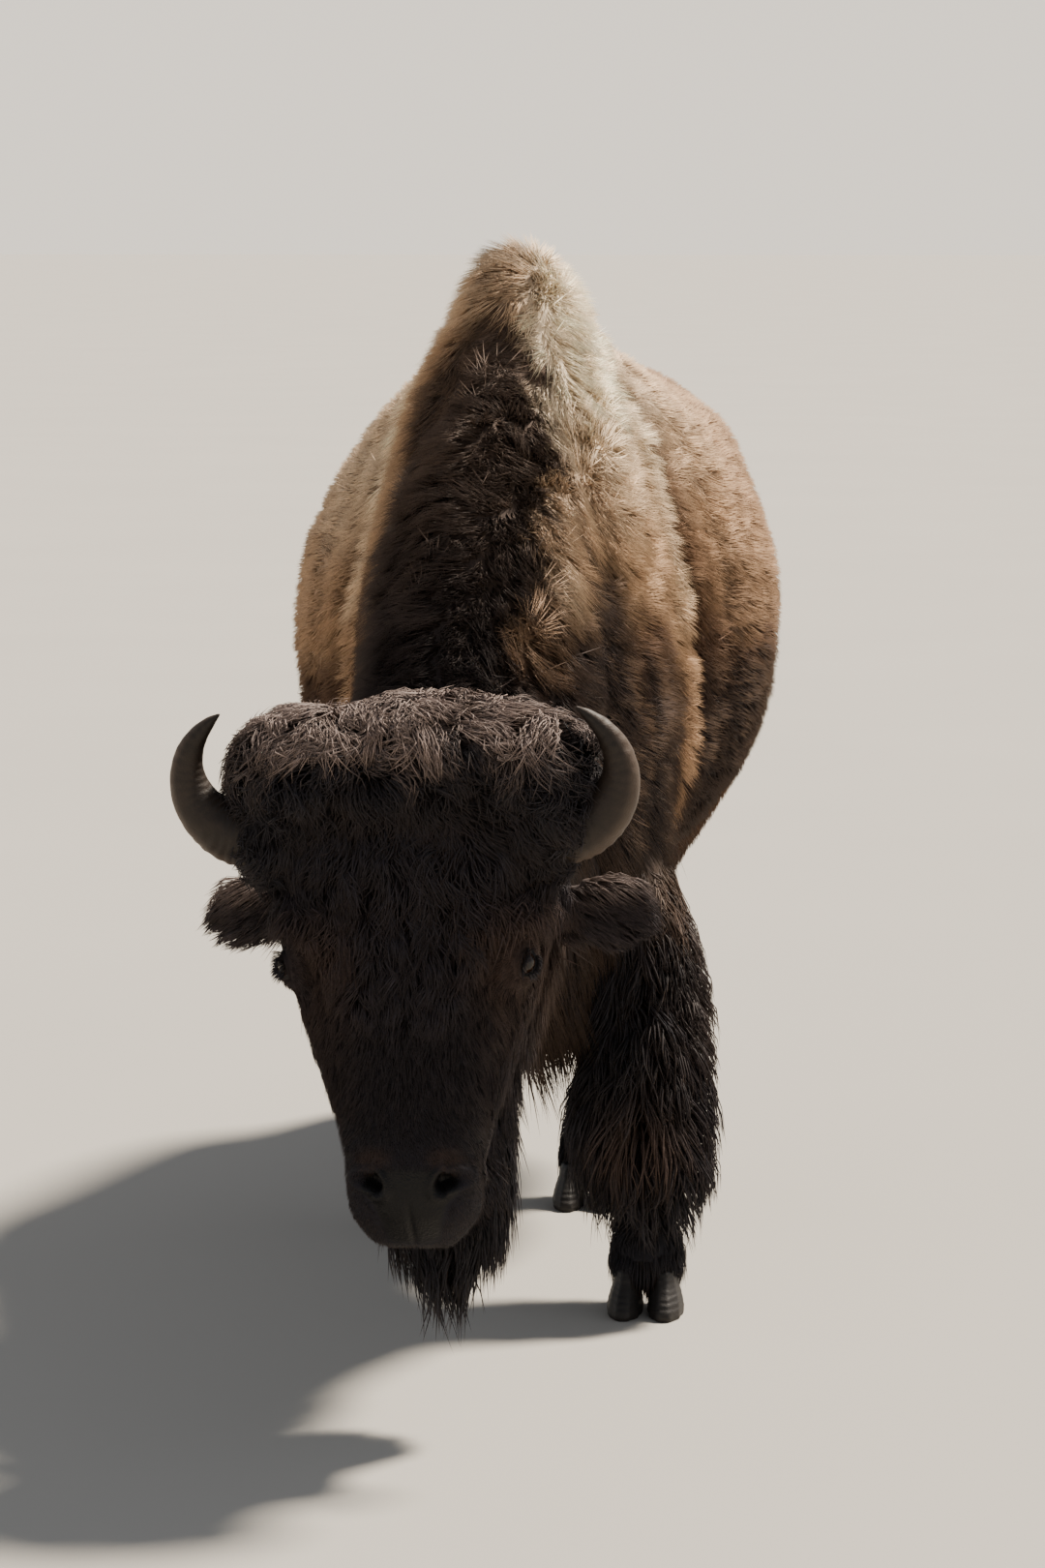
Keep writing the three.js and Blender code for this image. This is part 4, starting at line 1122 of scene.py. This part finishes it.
def tuft_piece(name, levels, centres, ups, width, colours, spots, material):
    """One piece of coat: closed three-sided tufts, tapering to a point along their centre lines."""
    count, rings = len(centres), len(levels) - 1
    girth = np.interp(levels, [0, 0.3, 0.7, 1.0], [0.85, 1.0, 0.72, 0.0])
    points = np.empty((count, rings * 3 + 1, 3))
    for place in range(rings):
        tangent = unit(centres[:, place + 1] - centres[:, place])
        across = unit(np.cross(ups[:, place], tangent))
        above = unit(np.cross(tangent, across))
        for corner, (aside, over) in enumerate(((-1.0, -0.25), (1.0, -0.25), (0.0, 0.65))):
            offset = (across * aside + above * over) * (width * girth[place])[:, None]
            points[:, place * 3 + corner] = centres[:, place] + offset
    points[:, -1] = centres[:, -1]
    of_one = [(0, 2, 1)]
    for place in range(rings - 1):
        for corner in range(3):
            here, there = place * 3 + corner, place * 3 + (corner + 1) % 3
            of_one += [(here, there, there + 3), (here, there + 3, here + 3)]
    last, tip = (rings - 1) * 3, rings * 3
    of_one += [(last + corner, last + (corner + 1) % 3, tip) for corner in range(3)]
    triangles = (np.array(of_one)[None] + (np.arange(count) * (tip + 1))[:, None, None]).reshape(-1, 3)
    mesh = bpy.data.meshes.new(name)
    mesh.vertices.add(count * (tip + 1))
    mesh.vertices.foreach_set("co", points.ravel())
    mesh.loops.add(triangles.size)
    mesh.loops.foreach_set("vertex_index", triangles.ravel().astype(np.int32))
    mesh.polygons.add(len(triangles))
    mesh.polygons.foreach_set("loop_start", np.arange(0, triangles.size, 3, dtype=np.int32))
    mesh.update(calc_edges=True)
    piece = bpy.data.objects.new(name, mesh)
    bpy.context.scene.collection.objects.link(piece)
    ring_of = np.repeat(np.arange(rings + 1), [3] * rings + [1])
    # Each tuft is darker at its root and paler at its tip: partly the hair's own colour, partly painted
    # shade deep in the coat and painted light on the tips.
    root_shade_tip_light = np.interp(levels, [0, 0.5, 1.0], [0.66, 0.95, 1.20])[ring_of]
    paint(mesh, "coat", (colours[:, None, :] * root_shade_tip_light[None, :, None]).reshape(-1, 3))
    across = np.array([-0.5, 0.5, 0.0] * rings + [0.0]) * PATCH
    patch = np.stack([across, (levels[ring_of] - 0.5) * PATCH], axis=1)
    flat = np.clip(spots[:, None, :] + patch[None], 0, 1).reshape(-1, 2)
    mesh.uv_layers.new(name="OFBake").data.foreach_set("uv", flat[triangles.ravel()].ravel())
    return finish_piece(piece, material)


ROOT_DEPTH = 0.0015  # how far a tuft's root is sunk into the skin
FLOOR_GAP = 0.008  # the least height of a hair over the floor


def grow(name, faces, kind, material, slot, rings, thinner):
    """The coat over some faces of the skin, in tufts that bend over it and gather into clumps."""
    soil = roots_on(faces, thinner)
    roots, normals, share = soil["place"], unit(soil["normal"]), soil["share"]
    hug, curl, gather = soil["hug"][:, None], soil["curl"][:, None], soil["gather"][:, None]
    count = len(roots)
    size = float(np.median(soil["clump"]))
    middle, off, number = nearest_clump(roots, size, 41)
    off = np.clip(off, 0, 1)
    length = soil["length"] * (0.75 + 0.5 * RANDOM.random(count))
    length = length * (1.12 - 0.38 * off) * (0.82 + 0.36 * number)
    width = soil["width"] * (0.75 + 0.5 * RANDOM.random(count))
    lift = np.clip(soil["gap"], 0.3 * soil["depth"], 1.15 * soil["depth"])
    lift = lift * (1.05 - 0.50 * off**2) * (0.78 + 0.25 * RANDOM.random(count))
    way = soil["lie"] + curl * (
        0.9 * noise_vectors(roots, size * 1.6, 61)
        + 1.1 * noise_vectors(middle, size * 0.8, 67)
        + 0.30 * RANDOM.normal(size=(count, 3))
    )
    way = unit(way - normals * (way * normals).sum(axis=1, keepdims=True) * hug)
    side = unit(np.cross(normals, way))
    swing = (number * 2 * math.pi + RANDOM.uniform(0, 1.5, count))[:, None]
    levels = np.linspace(0, 1, rings + 1) ** 0.9
    centres = np.empty((count, len(levels), 3))
    ups = np.empty((count, len(levels), 3))
    centres[:, 0], ups[:, 0] = roots - normals * ROOT_DEPTH, normals
    for place, level in enumerate(levels[1:], start=1):
        flat = roots + way * (length * level)[:, None]
        pull = middle + way * (length * level)[:, None] - flat
        pull = pull - normals * (pull * normals).sum(axis=1, keepdims=True)
        flat = flat + pull * gather * level**1.5 * 0.65
        flat = flat + side * np.sin(swing + 3.6 * level) * length[:, None] * curl * 0.28
        spots, ways = on_skin(flat)
        rise = lift * (1 - (1 - level) ** 2) * (1 - 0.12 * level) + soil["flare"] * level
        hugging = spots + ways * rise[:, None]
        free = flat + normals * (rise * (1.1 - 0.5 * level))[:, None]
        centres[:, place] = free + (hugging - free) * hug
        centres[:, place, 2] -= (1 - hug[:, 0]) * length * 0.12 * level**2
        ups[:, place] = unit(normals + (ways - normals) * hug)
    centres[:, :, 2] = np.maximum(centres[:, :, 2], FLOOR_GAP)
    # Random tone for each clump and tuft, and painted shade between clumps, darker the further a tuft stands
    # from its clump's middle.
    tone = (0.82 + 0.32 * number) * (0.88 + 0.24 * RANDOM.random(count)) * (1.16 - 0.44 * off)
    colours = marking(roots, share) * tone[:, None]
    return tuft_piece(name, levels, centres, ups, width, colours, unwrap(roots, kind), material)


MAIN = FACE_REGION_SHARE.argmax(axis=1)
BARE_FACE = 0.6  # a face that is barer than this is in no coat


def faces_in(regions, where):
    """The skin's coated faces that lie mostly in these regions, where they also meet a test."""
    ours = np.isin(MAIN, [NAMES.index(name) for name in regions])
    return np.flatnonzero(ours & (FACE_BARE < BARE_FACE) & where)


ON_LEFT = FACE_MIDDLE[:, 0] > -0.02
FORE = FACE_MIDDLE[:, 1] < 0.45
# On the head, tufts longer than 32 mm are the forelock and the jaw's hair.
SHAGGY = FIELD_VALUES[SKIN_FACES, FIELDS.index("length")].mean(axis=1) > 0.032
WHOLE = {"": True}
SIDES = {"_left": ON_LEFT, "_right": ~ON_LEFT}
ENDS = {"_fore": FORE, "_hind": ~FORE}
# For each coat: its name, regions and pieces, how it is laid flat, its material and slot, and how
# many rings of points a tuft has below its tip.
COATS = [
    ("hump", ["hump"], SIDES, "trunk", WOOL, "goldenWool", 1),
    ("barrel", ["barrel"], SIDES, "trunk", WOOL, "brownCoat", 1),
    ("rump", ["rump"], WHOLE, "trunk", WOOL, "brownCoat", 1),
    ("thigh", ["thigh"], SIDES, "limb", WOOL, "brownCoat", 1),
    ("neck", ["neck"], SIDES, "trunk", GUARD_HAIR, "darkMane", 1),
    ("face", ["head", "muzzle"], {"": ~SHAGGY}, "head", SHORT_HAIR, "faceCoat", 1),
    ("forelock_and_jaw", ["head", "muzzle"], {"": SHAGGY}, "head", GUARD_HAIR, "crownWool", 2),
    ("ears", ["ear"], WHOLE, "head", SHORT_HAIR, "faceCoat", 2),
    ("crown", ["crown"], WHOLE, "crown", GUARD_HAIR, "crownWool", 3),
    ("beard", ["beard"], WHOLE, "head", GUARD_HAIR, "darkMane", 3),
    ("chaps", ["chaps"], SIDES, "limb", GUARD_HAIR, "darkMane", 3),
    ("shanks", ["shank"], ENDS, "limb", SHORT_HAIR, "darkMane", 2),
    ("tail", ["tail", "tuft"], WHOLE, "limb", GUARD_HAIR, "darkMane", 2),
]
REPLACED = {"crown": "crown", "beard": "beard", "tail": "tail_tuft"}
THINNER = 1.0  # how many times further apart tufts stand
for coat_name, regions, pieces, *rest in COATS:
    for ending, where in pieces.items():
        coat = grow(f"coat_{coat_name}{ending}", faces_in(regions, where), *rest, THINNER)
        if coat_name in REPLACED:
            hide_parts(REPLACED[coat_name])


LASH_WIDTH = 0.0006


def grow_lashes():
    """Long drooping lashes along the upper lids, and shorter ones below."""
    count = 46  # lashes to each lid
    levels = np.linspace(0, 1, 4)
    rows = []
    for hand in (1, -1):
        gaze, front, top = gaze_axes(hand)
        for edge, length in ((1, 0.022), (-1, 0.011)):
            turn = np.linspace(0.45, math.pi - 0.45, count) * edge
            flat = np.cos(turn)[:, None] * front + np.sin(turn)[:, None] * top
            swing = 1 / np.hypot(np.cos(turn) / OPENING[0], np.sin(turn) / OPENING[1]) + 0.05
            heading = np.cos(swing)[:, None] * gaze + np.sin(swing)[:, None] * flat
            roots = eye_centre(hand) + heading * (EYE_RADIUS + 0.0012)
            way = unit(heading * 0.7 + gaze * 0.8 + flat * 0.3 + RANDOM.normal(size=(count, 3)) * 0.10)
            reach = length * (0.8 + 0.4 * RANDOM.random(count))
            lines = roots[:, None] + way[:, None] * (reach[:, None] * levels)[:, :, None]
            lines = lines + DOWN @ HEAD_AXES.T * (reach[:, None] * 0.45 * levels**2)[:, :, None]
            rows.append(lines)
    lines = from_head(np.concatenate(rows))
    ups = np.broadcast_to(FACE, lines.shape)
    colours = np.tile(BLACK_HAIR, (len(lines), 1))
    spots = unwrap(lines[:, 0], "head")
    width = np.full(len(lines), LASH_WIDTH)
    tuft_piece("eyelashes", levels, lines, ups, width, colours, spots, GUARD_HAIR)


grow_lashes()


# ---- Horns, hooves and eyes --------------------------------------------------------------------
CLAW_VOXEL, DEWCLAW_VOXEL = 0.0040, 0.0030
CLAW_GAP = 0.0025  # half the gap between the claws of a hoof
WALL_RIPPLE = 0.011  # from one ripple of a hoof's wall to the next


def hard_piece(name, voxel, passes):
    """A smooth piece of hoof from a copy of its CAD solid."""
    piece = copied([name], f"smooth_{name}")
    remesh(piece, voxel)
    mesh = piece.data
    place_points(mesh, spread(points_of(mesh), edges_of(mesh), EVEN_OUT * passes))
    finish_piece(piece, HOOF)
    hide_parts(name)
    return piece


def make_horn(side, hand):
    """A horn along its line, with growth rings at its base, a pale worn outer edge and a dark tip."""
    horn = add_ball(f"smooth_horn_{side}", 56, 120)
    mesh = horn.data
    ball = points_of(mesh)
    share = np.arccos(np.clip(ball[:, 2], -1, 1)) / math.pi
    turn = np.arctan2(ball[:, 1], ball[:, 0])
    steps = np.linalg.norm(np.diff(HORN_LINE[:, :3], axis=0), axis=1)
    runs = np.concatenate([[0], np.cumsum(steps)])
    curve = [np.polynomial.Polynomial.fit(runs, column, 5) for column in HORN_LINE.T]
    along = share * runs[-1]
    line = np.stack([part(along) for part in curve[:3]], axis=1)
    forward = unit(np.stack([part.deriv()(along) for part in curve[:3]], axis=1))
    rounded = np.clip(1 - share**16, 0, 1) ** 0.5 * smoothstep(0, 0.02, share)
    half = np.maximum(curve[3](along), 0.004) * rounded
    outward = line - HORN_BEND
    outward = unit(outward - forward * (outward * forward).sum(axis=1, keepdims=True))
    base = smoothstep(0.24, 0.08, along)
    spoke = np.cos(turn)[:, None] * outward + np.sin(turn)[:, None] * np.cross(forward, outward)
    places = line + half[:, None] * spoke
    wave = np.sin(2 * math.pi * along / HORN_RING + 2.5 * noise(places, 0.03, 81))
    bulge = (0.0012 * wave + 0.0016 * noise(places, 0.035, 83)) * base + 0.0007 * noise(places, 0.012, 82)
    bulge *= smoothstep(0, 0.02, share) * smoothstep(1, 0.97, share)
    places += unit(places - line) * bulge[:, None]
    place_points(mesh, from_head(places * (hand, 1, 1)))
    edit_all(bpy.ops.mesh.normals_make_consistent, inside=False)
    tip = smoothstep(runs[-1] * 0.72, runs[-1] * 0.97, along)
    measure(mesh, "along", along)
    measure(mesh, "worn", smoothstep(0.62, 1.0, np.cos(turn)) * (1 - 0.4 * tip) - 0.25 * tip - 0.2 * base)
    finish_piece(horn, HORN)
    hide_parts(f"horn_{side}")


def make_claws(leg, side):
    """The two claws of a cloven hoof, close together at the hairline and apart at the toes."""
    names = [f"{leg}_{side}_claw_{hand}" for hand in ("left", "right")]
    boxes = [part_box(name) for name in names]
    middle = sum(low.x + high.x for low, high in boxes) / 4
    front, back = min(low.y for low, _ in boxes), max(high.y for _, high in boxes)
    for name, (low, high) in zip(names, boxes):
        claw = hard_piece(name, CLAW_VOXEL, 9)
        mesh = claw.data
        points = points_of(mesh)
        x, y, z = points.T
        inner, outer = (low.x, high.x) if (low.x + high.x) / 2 > middle else (high.x, low.x)
        inside = np.clip((x - outer) / (inner - outer), 0, 1)
        behind = smoothstep(front, back, y)
        gap = abs(inner - middle) - CLAW_GAP
        shift = np.sign(middle - inner) * gap * inside**1.6 * (0.45 + 0.55 * behind)
        rim = 0.0016 * bell(z, high.z - 0.012, 0.007)
        ripple = 0.0003 * np.sin(z * 2 * math.pi / WALL_RIPPLE)
        points = points + normals_of(mesh) * (rim + ripple)[:, None]
        points[:, 0] += shift
        # The wall slopes in towards the hairline, more so in front than at the heel.
        narrower = smoothstep(0.01, high.z, z)
        axis = np.array([middle + 0.55 * ((low.x + high.x) / 2 - middle), 0.35 * front + 0.65 * back])
        points[:, :2] += (axis - points[:, :2]) * (narrower * 0.24)[:, None]
        points[:, 2] = np.maximum(points[:, 2], 0)
        place_points(mesh, points)
        measure(mesh, "along", z)
        measure(mesh, "worn", 0.5 * smoothstep(0.025, 0.0, z))
    for hand in ("left", "right"):
        name = f"{leg}_{side}_dewclaw_{hand}"
        dewclaw = hard_piece(name, DEWCLAW_VOXEL, 3)
        height = points_of(dewclaw.data)[:, 2]
        measure(dewclaw.data, "along", height)
        measure(dewclaw.data, "worn", np.zeros(len(height)))


UNDER_LIDS, CORNEA_BULGE = 0.0004, 0.0012  # how far the ball lies under the lids, and the bulge in front


def make_eye(side, hand):
    """An eyeball whose flat map holds where each point lies about the pupil."""
    eye = add_ball(f"wet_eye_{side}", 64, 32, EYE_RADIUS)
    mesh = eye.data
    heading = unit(points_of(mesh))
    gaze, front, top = (axis @ HEAD_AXES for axis in gaze_axes(hand))
    ahead = heading @ gaze
    reach = EYE_RADIUS - UNDER_LIDS + CORNEA_BULGE * smoothstep(0.80, 0.95, ahead)
    place_points(mesh, heading * reach[:, None] + from_head(eye_centre(hand)))
    spots = np.stack([heading @ front, heading @ top], axis=1) * 0.5 + 0.5
    spots[ahead < 0] = (0.99, 0.5)
    mesh.uv_layers.new(name="gaze").data.foreach_set("uv", spots[corners_of(mesh)].ravel())
    finish_piece(eye, EYE)
    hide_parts(f"eye_{side}")


EYE = eye_material()
for side, hand in (("left", 1), ("right", -1)):
    make_horn(side, hand)
    make_eye(side, hand)
    make_claws("foreleg", side)
    make_claws("hindleg", side)


# ---- Floor, light and camera -------------------------------------------------------------------
deselect()
bpy.ops.mesh.primitive_plane_add(size=400)
floor = bpy.context.view_layer.objects.active
floor.name = "floor"
floor.data.materials.append(floor_material())


def studio_air():
    """Soft grey light all round, paler at the level of the floor's far edge so that the two meet."""
    world = bpy.data.worlds.new("studio_air")
    world.use_nodes = True
    tree = world.node_tree
    way = node(tree, "ShaderNodeTexCoord")
    parts = node(tree, "ShaderNodeSeparateXYZ", {"Vector": way.outputs["Generated"]})
    rise = node(tree, "ShaderNodeMapRange", {
        "Value": parts.outputs["Z"], "From Min": 0.03, "From Max": 0.30,
    }, interpolation_type="SMOOTHSTEP")
    tone = node(tree, "ShaderNodeMix", {
        "Factor": rise.outputs["Result"], 6: (1.39, 1.26, 1.08, 1.0), 7: (0.44, 0.47, 0.52, 1.0),
    }, data_type="RGBA")
    tree.links.new(tone.outputs[2], tree.nodes["Background"].inputs["Color"])
    tree.nodes["Background"].inputs["Strength"].default_value = 1.0
    return world


bpy.context.scene.world = studio_air()

# One broad soft key, high and from behind on the animal's left.
lamp = bpy.data.lights.new("key", "SUN")
lamp.energy = 13.0
lamp.angle = math.radians(8)
lamp.color = colour("#fff3e2")
key = bpy.data.objects.new("key", lamp)
bpy.context.scene.collection.objects.link(key)
key.rotation_euler = Vector((0.48, 0.46, 1.00)).to_track_quat("Z", "Y").to_euler()

STAND = 7.0  # how far the camera stands from the hump, measured along the floor
camera_turn, camera_dip, camera_height = math.radians(5.5), math.radians(7.573), 1.7675
lens = bpy.data.cameras.new("camera")
lens.sensor_width = 36.0
lens.lens = 97.78
lens.dof.use_dof = False
camera = bpy.data.objects.new("camera", lens)
bpy.context.scene.collection.objects.link(camera)
camera.location = Vector(SHIFT) + Vector((
    STAND * math.sin(camera_turn), -STAND * math.cos(camera_turn), camera_height,
))
camera.rotation_euler = Euler((math.pi / 2 - camera_dip, 0.0, camera_turn))
bpy.context.scene.camera = camera

bpy.context.view_layer.update()
